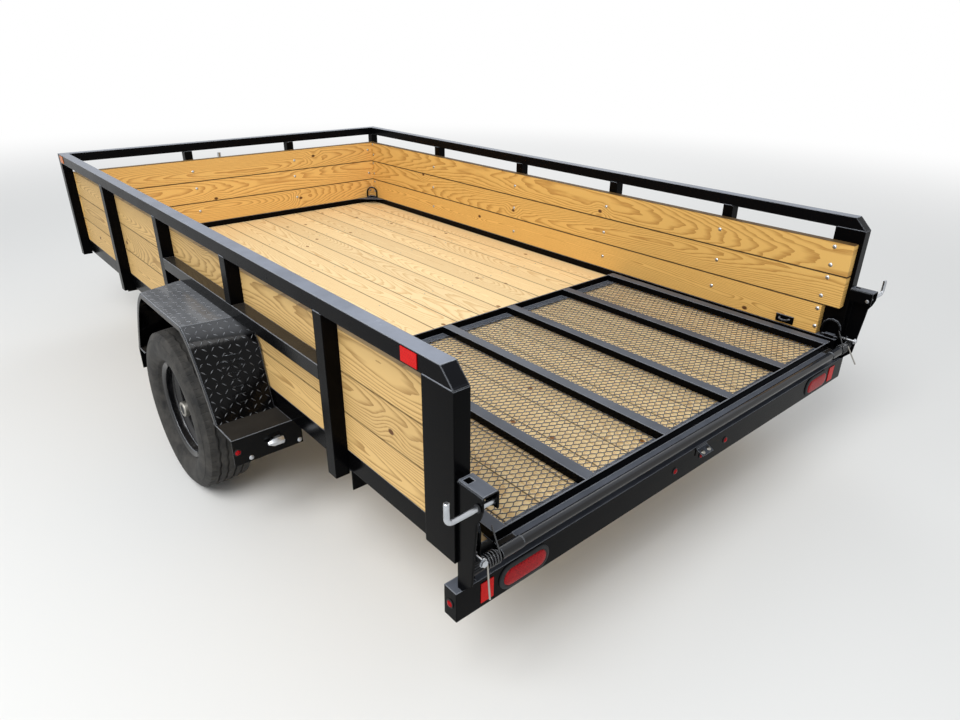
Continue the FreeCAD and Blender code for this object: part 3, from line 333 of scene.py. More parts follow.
def find_board(finish, known, first_edge, pitch, seed):
    """Works out a point's board, its distance from the board's middle, and that board's random numbers."""
    work_out(finish, known, (
        ("offset", "SUBTRACT", "across", first_edge), ("rows", "DIVIDE", "offset", pitch),
        ("row", "FLOOR", "rows", 0.0), ("seed", "ADD", "row", seed), ("half_rows", "ADD", "row", 0.5),
        ("centre", "MULTIPLY", "half_rows", pitch), ("middle", "SUBTRACT", "offset", "centre"),
        ("away", "ABSOLUTE", "middle", 0.0)))
    luck = add_node(finish, "ShaderNodeTexWhiteNoise", {"noise_dimensions": "1D", "W": known["seed"]}).outputs
    chance = add_node(finish, "ShaderNodeSeparateColor", {0: luck["Color"]}).outputs
    known.update({"chance_a": chance[0], "chance_b": chance[1], "chance_c": chance[2], "chance_d": luck["Value"]})
    work_out(finish, known, (("shift", "MULTIPLY", "chance_a", board_slide), ("start", "ADD", "along", "shift")))

# %% Knots
knots_per_metre, knot_rows_per_metre = 2.3, 3.4
knot_share = 0.50
knot_edge, knot_heart = 0.040, 0.022
swell_edge, swell_height = 0.24, 0.020


def find_knots(finish, known):
    """Works out the share of knot at a point, and how far the rings swell there, in metres."""
    work_out(finish, known, (
        ("knot_x", "MULTIPLY", "start", knots_per_metre), ("spread", "ADD", "middle", "chance_b"),
        ("knot_y", "MULTIPLY", "spread", knot_rows_per_metre)))
    knot_place = add_node(finish, "ShaderNodeCombineXYZ", {0: known["knot_x"], 1: known["knot_y"]})
    cells = add_node(finish, "ShaderNodeTexVoronoi", {
        "voronoi_dimensions": "2D", "Scale": 1.0, "Vector": knot_place.outputs[0]}).outputs
    for name, edge, heart, height in (("dot", knot_edge, knot_heart, 1.0),
                                      ("bulge", swell_edge, 0.0, swell_height)):
        known[name] = add_node(finish, "ShaderNodeMapRange", {
            "interpolation_type": "SMOOTHSTEP", "From Min": edge, "From Max": heart, "To Max": height,
            "Value": cells["Distance"]}).outputs[0]
    known["branch"] = add_node(finish, "ShaderNodeSeparateColor", {0: cells["Color"]}).outputs[0]
    work_out(finish, known, (
        ("rare", "GREATER_THAN", "branch", knot_share), ("knot", "MULTIPLY", "dot", "rare"),
        ("swell", "MULTIPLY", "bulge", "rare")))

# %% Growth rings
ring_width, fibre_width = 7.5, 4
heart_wander, heart_depth, heart_rise = 0.22, 0.42, 0.38
early_end, late_full = 0.40, 0.97


def find_rings(finish, known):
    """Works out the grain at a point, dark where late wood and its fibres lie."""
    work_out(finish, known, (
        ("slow_x", "MULTIPLY", "start", 0.5), ("slow_y", "MULTIPLY", "middle", 1.2),
        ("quick_x", "MULTIPLY", "start", 4.0), ("quick_y", "MULTIPLY", "middle", 26.0),
        ("fibre_x", "MULTIPLY", "start", 9.0), ("fibre_y", "MULTIPLY", "middle", per_metre(fibre_width)),
        ("fibre_z", "MULTIPLY", "depth", per_metre(fibre_width))))
    noises = {}
    for name, third, given in (("slow", "chance_c", {"Detail": 1, "Roughness": 0.3}),
                               ("quick", "chance_b", {"Detail": 2}), ("fibre", "fibre_z", {"Detail": 3})):
        where = add_node(finish, "ShaderNodeCombineXYZ", {
            0: known[name + "_x"], 1: known[name + "_y"], 2: known[third]})
        noises[name] = add_node(finish, "ShaderNodeTexNoise", {
            "Scale": 1.0, "Vector": where.outputs[0], **given}).outputs
    drift = add_node(finish, "ShaderNodeSeparateColor", {0: noises["slow"]["Color"]}).outputs
    known.update({"drift_across": drift[0], "drift_deep": drift[1], "waver": noises["quick"][0],
                  "fibre": noises["fibre"][0]})
    work_out(finish, known, (
        ("side_step", "SUBTRACT", "drift_across", 0.5), ("side_way", "MULTIPLY", "side_step", heart_wander),
        ("heart_across", "ADD", "middle", "side_way"), ("down", "SUBTRACT", "drift_deep", heart_rise),
        ("deep", "MULTIPLY", "down", heart_depth), ("under", "MULTIPLY", "chance_b", 0.06),
        ("heart_deep", "ADD", "deep", "under")))
    heart = add_node(finish, "ShaderNodeCombineXYZ", {0: known["heart_across"], 1: known["heart_deep"]})
    known["radius"] = add_node(finish, "ShaderNodeVectorMath", {
        "operation": "LENGTH", 0: heart.outputs[0]}).outputs["Value"]
    work_out(finish, known, (
        ("ripple", "MULTIPLY", "waver", 0.014), ("bent", "ADD", "radius", "ripple"),
        ("grown", "ADD", "bent", "swell"), ("rings", "MULTIPLY", "grown", per_metre(ring_width)),
        ("ring", "FRACT", "rings", 0.0)))
    known["late"] = add_node(finish, "ShaderNodeMapRange", {
        "interpolation_type": "SMOOTHSTEP", "From Min": early_end, "From Max": late_full, "To Max": 1.0,
        "Value": known["ring"]}).outputs[0]
    work_out(finish, known, (("streak", "ADD", "fibre", 0.15), ("grain", "MULTIPLY", "late", "streak")))

# %% Pine
seam_colour = "#3a2a19"
seam_outside, seam_inside = 0.0048, 0.0025


def sawn_pine(name, axes, first_edge, pitch, early, late, knot_colour, seam_shade, seed):
    """Boards side by side; axes are the numbers of the axes along a board, across it and into it."""
    finish, shader, place = new_finish(name)
    ways = add_node(finish, "ShaderNodeSeparateXYZ", {0: place}).outputs
    known = {way: ways[axis] for way, axis in zip(("along", "across", "depth"), axes)}
    find_board(finish, known, first_edge, pitch, seed)
    find_knots(finish, known)
    find_rings(finish, known)
    wood = add_node(finish, "ShaderNodeMix", {
        "data_type": "RGBA", 0: known["grain"], 6: linear(early), 7: linear(late)})
    tone = add_node(finish, "ShaderNodeMapRange", {"To Min": 0.91, "To Max": 1.04, "Value": known["chance_d"]})
    toned = add_node(finish, "ShaderNodeVectorMath", {
        "operation": "SCALE", 0: wood.outputs[2], "Scale": tone.outputs[0]})
    seam = add_node(finish, "ShaderNodeMapRange", {
        "From Min": pitch / 2 - seam_outside, "From Max": pitch / 2 - seam_inside, "To Max": seam_shade,
        "Value": known["away"]})
    shown = toned.outputs[0]
    for share, colour in ((known["knot"], knot_colour), (seam.outputs[0], seam_colour)):
        shown = add_node(finish, "ShaderNodeMix", {
            "data_type": "RGBA", 0: share, 6: shown, 7: linear(colour)}).outputs[2]
    bump = add_node(finish, "ShaderNodeBump", {"Strength": 0.4, "Distance": 0.0006, "Height": known["grain"]})
    feed(finish, shader, Base_Color=shown, Normal=bump.outputs[0], Roughness=0.62, IOR=1.5,
         Specular_IOR_Level=0.3)
    return finish

# %% The boards of each side
board_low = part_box("side_boards_left")[0]
deck_low, deck_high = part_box("deck_boards")
board_pitch = 0.1427
deck_board_count, deck_gap = 15, 0.003
deck_pitch = (deck_high.y - deck_low.y + deck_gap) / deck_board_count
side_edge, deck_edge = board_low.z - deck_gap / 2, deck_low.y - deck_gap / 2
treated_knot, deck_knot = "#5d3a1c", "#8a5a2c"
# The three treated pine finishes are one wood, coloured apart by the light on each side: painted light and shade.
# The left boards' outer faces are the darkest: straw and brown.
left_pine = sawn_pine("treated_pine_left", (0, 2, 1), side_edge, board_pitch, "#d6b274", "#8f6832",
                      treated_knot, 0.5, 3.0)
# The right boards' inner faces, painted lighter for the light on them: honey, with soft orange lines.
right_pine = sawn_pine("treated_pine_right", (0, 2, 1), side_edge, board_pitch, "#e4b768", "#a97634",
                       treated_knot, 0.9, 25.0)
# The front boards, painted the lightest and warmest of the three for the light on them.
front_pine = sawn_pine("treated_pine_front", (1, 2, 0), side_edge, board_pitch, "#f0c374", "#b27a3c",
                       treated_knot, 0.8, 9.0)
# Deck boards are fresh and untreated: cream, with faint lines.
deck_pine = sawn_pine("pale_pine_deck", (0, 1, 2), deck_edge, deck_pitch, "#f8dba6", "#d6ab6e",
                      deck_knot, 0.65, 14.0)
print("deck boards", round(deck_pitch * 1000, 1), "mm apart")

# %% [markdown]
# ## Rubber and lenses
# Tyre rubber is carbon-black rubber, moulded: a dark grey that dust turns brown, hardly glossy, roughness 0.66.
# The lamp grommets are moulded EPDM rubber, a matte black. The lenses are moulded acrylic, IOR 1.49: a smooth
# skin over rows of small prisms, so the colour breaks up while the highlight stays clean. That takes a coat,
# which keeps its own smooth surface, over a base with the prisms in its bump.

# %% Rubber
def moulded_rubber(name, colour, overlay_colour, roughness, dust_share):
    """Rubber with dusty clouds and a fine grit, 4 mm across so that it shows."""
    finish, shader, place = new_finish(name)
    cloud = add_node(finish, "ShaderNodeTexNoise", {
        "Scale": per_metre(70), "Detail": 6, "Roughness": 0.7, "Vector": place})
    share = add_node(finish, "ShaderNodeMapRange", {
        "From Min": 0.35, "From Max": 0.7, "To Max": dust_share, "Value": cloud.outputs[0]})
    colours = add_node(finish, "ShaderNodeMix", {
        "data_type": "RGBA", 0: share.outputs[0], 6: linear(colour), 7: linear(overlay_colour)})
    grit = add_node(finish, "ShaderNodeTexNoise", {"Scale": per_metre(4), "Detail": 2, "Vector": place})
    bump = add_node(finish, "ShaderNodeBump", {"Strength": 0.25, "Distance": 0.0005, "Height": grit.outputs[0]})
    feed(finish, shader, Base_Color=colours.outputs[2], Normal=bump.outputs[0], Roughness=roughness,
         IOR=1.52, Specular_IOR_Level=0.2)
    return finish


# Tread and sidewall: charcoal that dust turns brown, with hardly any shine.
tyre_rubber = moulded_rubber("vulcanised_tyre_rubber", "#242424", "#5b5853", 0.66, 0.5)
# Grommets, collars and plugs: a darker matte black.
grommet_rubber = moulded_rubber("moulded_epdm_rubber", "#141415", "#35383c", 0.55, 0.6)
print("rubbers", tyre_rubber.name, grommet_rubber.name)

# %% Lenses
def acrylic_lens(name, colour, deep, prism_size, shine):
    """Clear coloured acrylic over prisms of so many millimetres, turned so that no face cuts them flat."""
    finish, shader, place = new_finish(name)
    turned_place = add_node(finish, "ShaderNodeMapping", {
        "Rotation": (math.radians(45), math.radians(45), 0), 0: place})
    prisms = add_node(finish, "ShaderNodeTexVoronoi", {
        "distance": "CHEBYCHEV", "Scale": per_metre(prism_size), "Randomness": 0.35,
        "Vector": turned_place.outputs[0]}).outputs["Distance"]
    colours = add_node(finish, "ShaderNodeMix", {
        "data_type": "RGBA", 0: prisms, 6: linear(deep), 7: linear(colour)})
    bump = add_node(finish, "ShaderNodeBump", {"Strength": 0.5, "Distance": 0.001, "Height": prisms})
    feed(finish, shader, Base_Color=colours.outputs[2], Normal=bump.outputs[0], Roughness=0.3, IOR=1.49,
         Specular_IOR_Level=0.06, Coat_Weight=shine, Coat_Roughness=0.05)
    return finish


# Lamp lenses that aren't lit: a deep red, nearly black between the prisms.
red_acrylic = acrylic_lens("red_moulded_acrylic", "#d8121c", "#3a0105", 7, 0.12)
# Reflex sheet sends light straight back, so it reads as a bright flat red.
red_reflex = acrylic_lens("red_reflex_sheet", "#e01b19", "#ab0d0c", 6, 0.05)
# Amber reflectors: orange, with dark seams between the prisms.
amber_acrylic = acrylic_lens("amber_moulded_acrylic", "#f08a1c", "#a84a06", 5, 0.2)
print("lenses", red_acrylic.name, red_reflex.name, amber_acrylic.name)

# %% [markdown]
# ## Dress the solids
# Each solid keeps its shape and takes the finish of its real material. The record's slot names say which is
# which, so one short table from slot to finish dresses them all, and a second one names the few solids whose
# surface differs from their slot's: the top rails with their painted sky reflection, the tread plate and the
# boards of each side.

# %% Finishes by slot
finish_of = {"black_paint": powder_coat, "wheel_paint": wheel_enamel, "axle_paint": axle_paint,
             "spring_steel": spring_paint, "zinc_plate": bright_zinc, "treated_pine": left_pine,
             "deck_pine": deck_pine, "rubber": grommet_rubber, "tyre": tyre_rubber,
             "red_lens": red_acrylic, "amber_lens": amber_acrylic}
own_finish = {"side_boards_right": right_pine, "front_boards": front_pine, "red_reflectors": red_reflex}
for own, names in ((sky_sheen_coat, ("top_rail_left", "top_rail_right", "top_rail_front")),
                   (plate_paint, ("fender_left", "fender_right")),
                   (clean_coat, ("hinge_bolts", "gate_barrels", "fender_brackets", "mid_rails"))):
    own_finish.update({name: own for name in names})
slot_of = {entry["node"]: entry["material_slot"] for entry in frame["record"]["subparts"]}
for name, solid in frame["nodes"].items():
    solid.data.materials.clear()
    solid.data.materials.append(own_finish.get(name, finish_of[slot_of[name]]))
print(len(frame["nodes"]), "solids dressed")

# %% [markdown]
# ## Pieces of our own
# A new piece is a list of points and a list of faces, made into a mesh, smoothed where its faces meet at a low
# angle and kept crisp elsewhere. Every piece rides with a body of the trailer, so that it turns with the wheel or
# swings with the gate. Places are given as on a workshop drawing, in millimetres from the rear end of the frame.

# %% Places and meshes
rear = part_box("frame_rails")[0].x


def at(x, y, z):
    """A place in metres from millimetres ahead of the frame's rear end, to the left and up."""
    return Vector((rear + x / 1000, y / 1000, z / 1000))


def add_piece(name, part, body, finish, replaces=(), crease=32):
    """A mesh of points and faces that rides on a body; edges sharper than crease degrees stay crisp."""
    points, faces = part
    mesh = bpy.data.meshes.new(name)
    mesh.from_pydata([tuple(point) for point in points], [], faces)
    mesh.validate()
    tidy = bmesh.new()
    tidy.from_mesh(mesh)
    bmesh.ops.recalc_face_normals(tidy, faces=tidy.faces)
    tidy.to_mesh(mesh)
    tidy.free()
    mesh.materials.append(finish)
    for face in mesh.polygons:
        face.use_smooth = True
    mesh.set_sharp_from_angle(angle=math.radians(crease))
    piece = bpy.data.objects.new(name, mesh)
    bpy.context.scene.collection.objects.link(piece)
    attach(piece, body)
    if replaces:
        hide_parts(*replaces)
    print(name, "has", len(mesh.polygons), "faces and rides on", body)


def join_rings(rings, closed):
    """Points and faces that join rings of as many points each; closed joins the last ring to the first."""
    count = len(rings[0])
    points = [point for ring in rings for point in ring]
    faces = []
    for place in range(len(rings) if closed else len(rings) - 1):
        first, second = place * count, (place + 1) % len(rings) * count
        for step in range(count):
            after = (step + 1) % count
            faces.append((first + step, first + after, second + after, second + step))
    if not closed:
        faces.append(tuple(range(count))[::-1])
        faces.append(tuple(range((len(rings) - 1) * count, len(rings) * count)))
    return points, faces


def round_bar(path, radii, sides=14):
    """Points and faces of a bar along a path; radii is one radius, or one for each point."""
    path = [Vector(point) for point in path]
    radii = radii if isinstance(radii, list) else [radii] * len(path)
    rings, across = [], None
    for place, (point, radius) in enumerate(zip(path, radii)):
        along = ((path[min(place + 1, len(path) - 1)] - point).normalized()
                 + (point - path[max(place - 1, 0)]).normalized()).normalized()
        if across is None:
            across = along.orthogonal().normalized()
        across = (across - along * across.dot(along)).normalized()
        third = along.cross(across)
        rings.append([point + radius * (across * math.cos(turn) + third * math.sin(turn))
                      for turn in (2 * math.pi * side / sides for side in range(sides))])
    return join_rings(rings, closed=False)


def spun(outline, spot, axis, steps=24):
    """Points and faces of an outline of (radius, height) in metres, turned about an axis through a spot."""
    axis = Vector(axis).normalized()
    across = axis.orthogonal().normalized()
    third = axis.cross(across)
    rings = [[spot + height * axis + radius * (across * math.cos(turn) + third * math.sin(turn))
              for radius, height in outline] for turn in (2 * math.pi * step / steps for step in range(steps))]
    return join_rings(rings, closed=True)


def gather(parts):
    """Several point and face lists as one."""
    points, faces = [], []
    for some_points, some_faces in parts:
        base = len(points)
        points.extend(some_points)
        faces.extend(tuple(corner + base for corner in face) for face in some_faces)
    return points, faces


def mirrored(part):
    """The same part on the other side of the trailer."""
    points, faces = part
    return [Vector((x, -y, z)) for x, y, z in points], [face[::-1] for face in faces]


def both(parts):
    """Parts of the left side and their mirror images, as one."""
    part = gather(parts)
    return gather([part, mirrored(part)])

# %% [markdown]
# ## Tyres
# A trailer tyre is a moulded ring with ribs round its tread. Its outline is turned about the axle, and to press
# the tread in, each outline round the wheel is a little different: the four grooves zigzag, and the shoulders
# have a notch at every pitch. A pitch is four outlines, two close pairs, so that a notch has steep walls.

# %% Tyre outline
tyre_low, tyre_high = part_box("tyre_left")
wheel_centre = (tyre_low + tyre_high) / 2
tyre_radius, crown_fall = 0.340, 0.006
pitches = 68
groove_depth, groove_half, groove_wall = 0.0075, 0.0045, 0.0012
grooves = (-0.046, -0.016, 0.016, 0.046)
notch_depth, zigzag = 0.0016, 0.0022
shoulder, notch_outer, notch_inner = 0.080, 0.060, 0.057
sidewall = [(0.199, 0.058), (0.2075, 0.0635), (0.2125, 0.0705), (0.217, 0.079), (0.2185, 0.0815),
            (0.2215, 0.0835), (0.2245, 0.0855), (0.238, 0.0935), (0.254, 0.0985), (0.272, 0.1015), (0.290, 0.1000),
            (0.3035, 0.0965), (0.3050, 0.0975), (0.3085, 0.0965), (0.3100, 0.0940), (0.3190, 0.0900),
            (0.3270, 0.0840)]


def tread_outline(shift, notch):
    """Radius and offset of the tyre's outline, from the outer bead to the inner one."""
    def crown(offset, deep=0.0):
        return tyre_radius - crown_fall * (offset / shoulder) ** 2 - deep
    cut = notch_depth if notch else 0.0
    edge = [(crown(offset, deep), offset)
            for offset, deep in ((shoulder, cut), (notch_outer, cut), (notch_inner, 0.0))]
    outline = sidewall + edge
    for groove in grooves[::-1]:
        middle = groove + shift
        for step, deep in ((groove_half, 0), (groove_half - groove_wall, groove_depth),
                           (groove_wall - groove_half, groove_depth), (-groove_half, 0)):
            outline.append((crown(middle, deep), middle + step))
    return outline + [(radius, -offset) for radius, offset in edge[::-1] + sidewall[::-1]]

# %% Tyres
def tyre(centre, outward):
    """Points and faces of one tyre; a pitch is four outlines, at these shares of its length."""
    rings = []
    for pitch in range(pitches):
        for share, notch in ((0.0, False), (0.80, False), (0.84, True), (0.94, True)):
            angle = 2 * math.pi * (pitch + share) / pitches
            shift = zigzag * (1 if (pitch + (share > 0.4)) % 2 else -1)
            rings.append([centre + Vector((radius * math.cos(angle), outward * offset, radius * math.sin(angle)))
                          for radius, offset in tread_outline(shift, notch)])
    return join_rings(rings, closed=True)


wheels = [("left", 1, wheel_centre), ("right", -1, Vector((wheel_centre.x, -wheel_centre.y, wheel_centre.z)))]
for side, outward, centre in wheels:
    add_piece("tyre_tread_" + side, tyre(centre, outward), "wheel_%s_body" % side, tyre_rubber,
              ["tyre_" + side])

# %% [markdown]
# ## Wheels and hubs
# The wheel is a pressed steel rim and disc, and the hub's grease cap pokes through it, closed by a rubber plug.
# All are turned shapes, so an outline of radius and offset goes once round the axle in 96 steps, enough for the
# lip to look round. Each lug nut is a hexagon with a cone at its seat and a rounded top, on a stud.

# %% Wheels, hubs and nuts
rim_outline = [(0.0355, 0.0120), (0.066, 0.0120), (0.070, 0.0150), (0.118, 0.0150), (0.126, 0.0115),
               (0.150, 0.0130), (0.168, 0.0230), (0.184, 0.0330), (0.186, 0.0400), (0.186, 0.0610),
               (0.190, 0.0645), (0.198, 0.0665), (0.203, 0.0690), (0.2065, 0.0700), (0.2080, 0.0690),
               (0.2080, 0.0665), (0.2055, 0.0655), (0.2000, 0.0630), (0.1925, 0.0600), (0.1900, 0.0560),
               (0.1900, -0.0660), (0.2080, -0.0660), (0.2080, -0.0700), (0.1860, -0.0700), (0.1860, 0.0220),
               (0.168, 0.0180), (0.150, 0.0080), (0.0355, 0.0080)]
cap_outline = [(0.0355, -0.0600), (0.0355, -0.0140), (0.0620, -0.0140), (0.0620, 0.0080), (0.0327, 0.0080),
               (0.0327, 0.0160), (0.0327, 0.0590), (0.0322, 0.0615), (0.0305, 0.0635), (0.0280, 0.0645),
               (0.0235, 0.0645), (0.0225, 0.0630), (0.0001, 0.0630), (0.0001, 0.0500), (0.0178, 0.0310),
               (0.0178, -0.0600)]
plug_outline = [(0.0001, 0.0660), (0.0150, 0.0656), (0.0195, 0.0645), (0.0212, 0.0628), (0.0001, 0.0628)]
turned_steps, plug_steps = 96, 32
lug_count, lug_circle = 5, 0.049
nut_heights, nut_radii = (0.012, 0.015, 0.026, 0.030), [0.0085, 0.0100, 0.0100, 0.0080]
for side, outward, centre in wheels:
    body = "wheel_%s_body" % side
    axis = Vector((0, outward, 0))
    wheel, cap = (spun(outline, centre, axis, turned_steps) for outline in (rim_outline, cap_outline))
    add_piece("wheel_" + side, wheel, body, wheel_enamel, ["rim_" + side])
    add_piece("grease_cap_" + side, cap, body, worn_zinc, ["hub_" + side])
    plug = spun(plug_outline, centre, axis, plug_steps)
    add_piece("grease_plug_" + side, plug, body, grommet_rubber)
    nuts = []
    for lug in range(lug_count):
        angle = 2 * math.pi * (lug + 0.25) / lug_count
        stud = centre + lug_circle * Vector((math.cos(angle), 0, math.sin(angle)))
        nuts.append(round_bar([stud + height * axis for height in nut_heights], nut_radii, 6))
    add_piece("wheel_nuts_" + side, gather(nuts), body, bright_zinc, ["lug_nuts_" + side],
              crease=20)
    print(side, "wheel with", lug_count, "nuts")

# %% [markdown]
# ## Fenders of tread plate
# Each fender is one sheet of steel tread plate, folded crisply behind its flat top and then curved down to the
# shelf, with its outer edge turned under. The solid is faceted, so a smooth skin stands for it: a row of points
# follows the arch at the outer edge, another at the boards, and the skin is ruled between them. The plate's
# surface is rolled with raised bars, 23 mm long, slanting left and right by turns. They could be a bump pattern,
# but real bars catch the light at their ends in every view, so each one is a small ridge laid on the skin.

# %% Arch of the fender
fender_low, fender_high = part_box("fender_left")
fender_middle = (fender_low.x + fender_high.x) / 2
outer_halves, inner_halves = (0.232, 0.300, 0.375, 0.452), (0.280, 0.385, 0.420, 0.460)
drop_shares = (0.0, 0.185, 0.54, 1.0)
fender_fall, plate_wall, lip_depth, edge_round = 0.008, 0.003, 0.022, 0.003
arch_steps, first_lean = 18, math.radians(20)


def smooth_through(values, share):
    """Value at a share of the way along a smooth line through evenly numbered values."""
    place = min(share, 0.9999) * (len(values) - 1)
    step = int(place)
    before, first, second, after = (values[min(max(step + shift, 0), len(values) - 1)] for shift in (-1, 0, 1, 2))
    part = place - step
    return first + 0.5 * part * (second - before + part * (2 * before - 5 * first + 4 * second - after
                                                           + part * (3 * (first - second) + after - before)))


def arch_line(halves, y, top, inset):
    """Points over the wheel from the rear end to the front one, on a line inset from the skin."""
    line = []
    for step in range(arch_steps + 1):
        half, drop = (smooth_through(values, step / arch_steps) for values in (halves, drop_shares))
        line.append((half, top - drop * (top - fender_low.z)))
    sunk = []
    for step, (half, z) in enumerate(line):
        (half_a, z_a), (half_b, z_b) = line[max(step - 1, 0)], line[min(step + 1, arch_steps)]
        lean = math.atan2(z_a - z_b, half_b - half_a) if step else first_lean
        sunk.append((half - inset * math.sin(lean), z - inset * math.cos(lean) if step < arch_steps else z))
    behind = [Vector((fender_middle - half, y, z)) for half, z in sunk[::-1]]
    return behind + [Vector((fender_middle + half, y, z)) for half, z in sunk]


outer_y, inner_y = fender_high.y, fender_low.y
outer_top, inner_top = fender_high.z - fender_fall, fender_high.z
outer_line = arch_line(outer_halves, outer_y - edge_round, outer_top, 0.0)
edge_line = arch_line(outer_halves, outer_y, outer_top, edge_round)
lip_line = arch_line(outer_halves, outer_y, outer_top, lip_depth)
lip_back = arch_line(outer_halves, outer_y - plate_wall, outer_top, lip_depth)
under_edge = arch_line(outer_halves, outer_y - plate_wall, outer_top, edge_round)
inner_line = arch_line(inner_halves, inner_y, inner_top, 0.0)
under_line = arch_line(inner_halves, inner_y, inner_top, plate_wall)
skin_lines = (outer_line, edge_line, lip_line, lip_back, under_edge, under_line, inner_line)
skin = join_rings([list(ring) for ring in zip(*skin_lines)], closed=False)
add_piece("fender_skin_left", skin, "root", plate_paint, ["fender_left"], crease=24)
add_piece("fender_skin_right", mirrored(skin), "root", plate_paint, ["fender_right"], crease=24)
print("fender arch", round(2 * outer_halves[-1], 3), "m long")

# %% Bars of the tread plate
bar_pitch = 0.027
bar_half_length, bar_half_width, bar_height = 0.0115, 0.0024, 0.0017
ridge_share, upright = 0.5, 0.2
bar_faces = [(0, 1, 4), (1, 5, 4), (1, 2, 5), (2, 3, 5), (3, 4, 5), (3, 0, 4)]
row_count = round((outer_y - inner_y) / bar_pitch)


def plate_bar(spot, forward, normal, lean):
    """One ridge on the plate, slanting left or right of forward."""
    along = (forward + lean * normal.cross(forward)).normalized()
    across = normal.cross(along)
    foot = [spot + along * bar_half_length, spot + across * bar_half_width,
            spot - along * bar_half_length, spot - across * bar_half_width]
    ridge = [spot + along * bar_half_length * ridge_share + normal * bar_height,
             spot - along * bar_half_length * ridge_share + normal * bar_height]
    return foot + ridge, bar_faces


bar_parts = []
travelled = 0.0
for outer_a, outer_b, inner_a, inner_b in zip(outer_line, outer_line[1:], inner_line, inner_line[1:]):
    length = ((outer_b - outer_a).length + (inner_b - inner_a).length) / 2
    for column in range(math.ceil(travelled / bar_pitch), math.ceil((travelled + length) / bar_pitch)):
        share = (column * bar_pitch - travelled) / length
        outer_spot, inner_spot = outer_a.lerp(outer_b, share), inner_a.lerp(inner_b, share)
        for row in range(row_count):
            inward = (row + 0.5) / row_count
            spot = outer_spot.lerp(inner_spot, inward)
            forward = (outer_b - outer_a).lerp(inner_b - inner_a, inward).normalized()
            normal = (inner_spot - outer_spot).cross(forward).normalized()
            outward = abs(normal.z) < upright and normal.x * (spot.x - fender_middle) > 0
            normal = normal if normal.z > 0 or outward else -normal
            bar_parts.append(plate_bar(spot, forward, normal, 1 if (column + row) % 2 else -1))
    travelled += length
bars = gather(bar_parts)
add_piece("tread_plate_bars_left", bars, "root", bar_paint)
add_piece("tread_plate_bars_right", mirrored(bars), "root", bar_paint)
print(len(bar_parts), "bars on a fender")

# %% [markdown]
# ## Expanded mesh
# The ramp's floor is expanded metal: a sheet slit in rows and pulled until the slits open into diamonds, here
# 51 mm across the trailer and 25 mm along it. Each strand is a zigzag that touches the next at every other
# corner, and the pull leaves it tilted. So the mesh is one zigzag bar repeated along the ramp, every second one
# shifted by half a diamond.

# %% Expanded mesh
mesh_low, mesh_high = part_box("gate_mesh")
diamond_long, diamond_short = 0.0512, 0.0250
knuckle = 0.009
strand_width, strand_wall, strand_lean = 0.0032, 0.0021, math.radians(38)
strands = math.floor((mesh_high.x - mesh_low.x) / (diamond_short / 2)) - 1
turns = math.floor((mesh_high.y - mesh_low.y) / (diamond_long / 2))
section = []
for first, second in ((-1, -1), (1, -1), (1, 1), (-1, 1)):
    wide, deep = first * strand_width / 2, second * strand_wall / 2
    section.append((wide * math.cos(strand_lean) - deep * math.sin(strand_lean),
                    wide * math.sin(strand_lean) + deep * math.cos(strand_lean)))
half_deep = max(deep for wide, deep in section)
half_wide = max(wide for wide, deep in section)
strand_parts = []
for strand in range(strands):
    rings = []
    for turn in range(turns + 1):
        x = mesh_low.x + half_wide + strand * diamond_short / 2 + (turn + strand) % 2 * diamond_short / 2
        y = mesh_low.y + turn * diamond_long / 2
        for step in (-knuckle / 2, knuckle / 2):
            if mesh_low.y <= y + step <= mesh_high.y:
                rings.append([(x + wide, y + step, mesh_high.z - half_deep + deep) for wide, deep in section])
    strand_parts.append(join_rings(rings, closed=False))
add_piece("expanded_mesh", gather(strand_parts), "gate", clean_coat, ["gate_mesh"], crease=20)
print(strands, "strands of", turns, "half diamonds")

# %% [markdown]
# ## Springs and pins of the gate
# A torsion spring helps to lift the gate at each side: a black wire, 5.4 mm thick, wound four times round the
# hinge bolt. One end stands up against the latch stand, and the other hangs to the rear, where rubbing has worn
# it bright, so that leg is a piece of its own with a finish of its own. Above it a bent zinc-plated pin locks the
# gate when it is up. The solids have flat sides, so round wire takes their place, along the same lines.

# %% Torsion springs
hinge_x, hinge_z, barrel_end = -36.0, 513.0, 1007.0
spring_wire, coil_radius, coil_turns, coil_pitch = 0.0027, 19.0, 4, 9.4
leg_up, leg_down, leg_outward = (21.0, 86.0), (-55.0, -69.0), 23.0
sleeve_past_barrel, coil_steps, wire_sides = 10.0, 120, 10
first_angle, last_angle = (math.atan2(z, x) + way * math.acos(coil_radius / math.hypot(x, z))
                           for (x, z), way in ((leg_up, 1), (leg_down, -1)))
swept = (last_angle - first_angle) % (2 * math.pi) + 2 * math.pi * coil_turns
coil_start = barrel_end + sleeve_past_barrel
coil_end = coil_start + coil_pitch * swept / (2 * math.pi)
spring_path = [at(hinge_x + leg_up[0], coil_start, hinge_z + leg_up[1])]
for step in range(coil_steps + 1):
    angle = first_angle + swept * step / coil_steps
    spring_path.append(at(hinge_x + coil_radius * math.cos(angle),
                          coil_start + (coil_end - coil_start) * step / coil_steps,
                          hinge_z + coil_radius * math.sin(angle)))
leg_end = at(hinge_x + leg_down[0], coil_end + leg_outward, hinge_z + leg_down[1])
hanging_leg = [spring_path[-2], spring_path[-1], leg_end]
add_piece("torsion_springs", both([round_bar(spring_path, spring_wire, wire_sides)]), "root",
          spring_paint, ["coil_springs"])
add_piece("spring_legs", both([round_bar(hanging_leg, spring_wire + 0.0001, wire_sides)]), "root",
          worn_zinc)
print("coil", round(coil_end - coil_start, 1), "mm long")

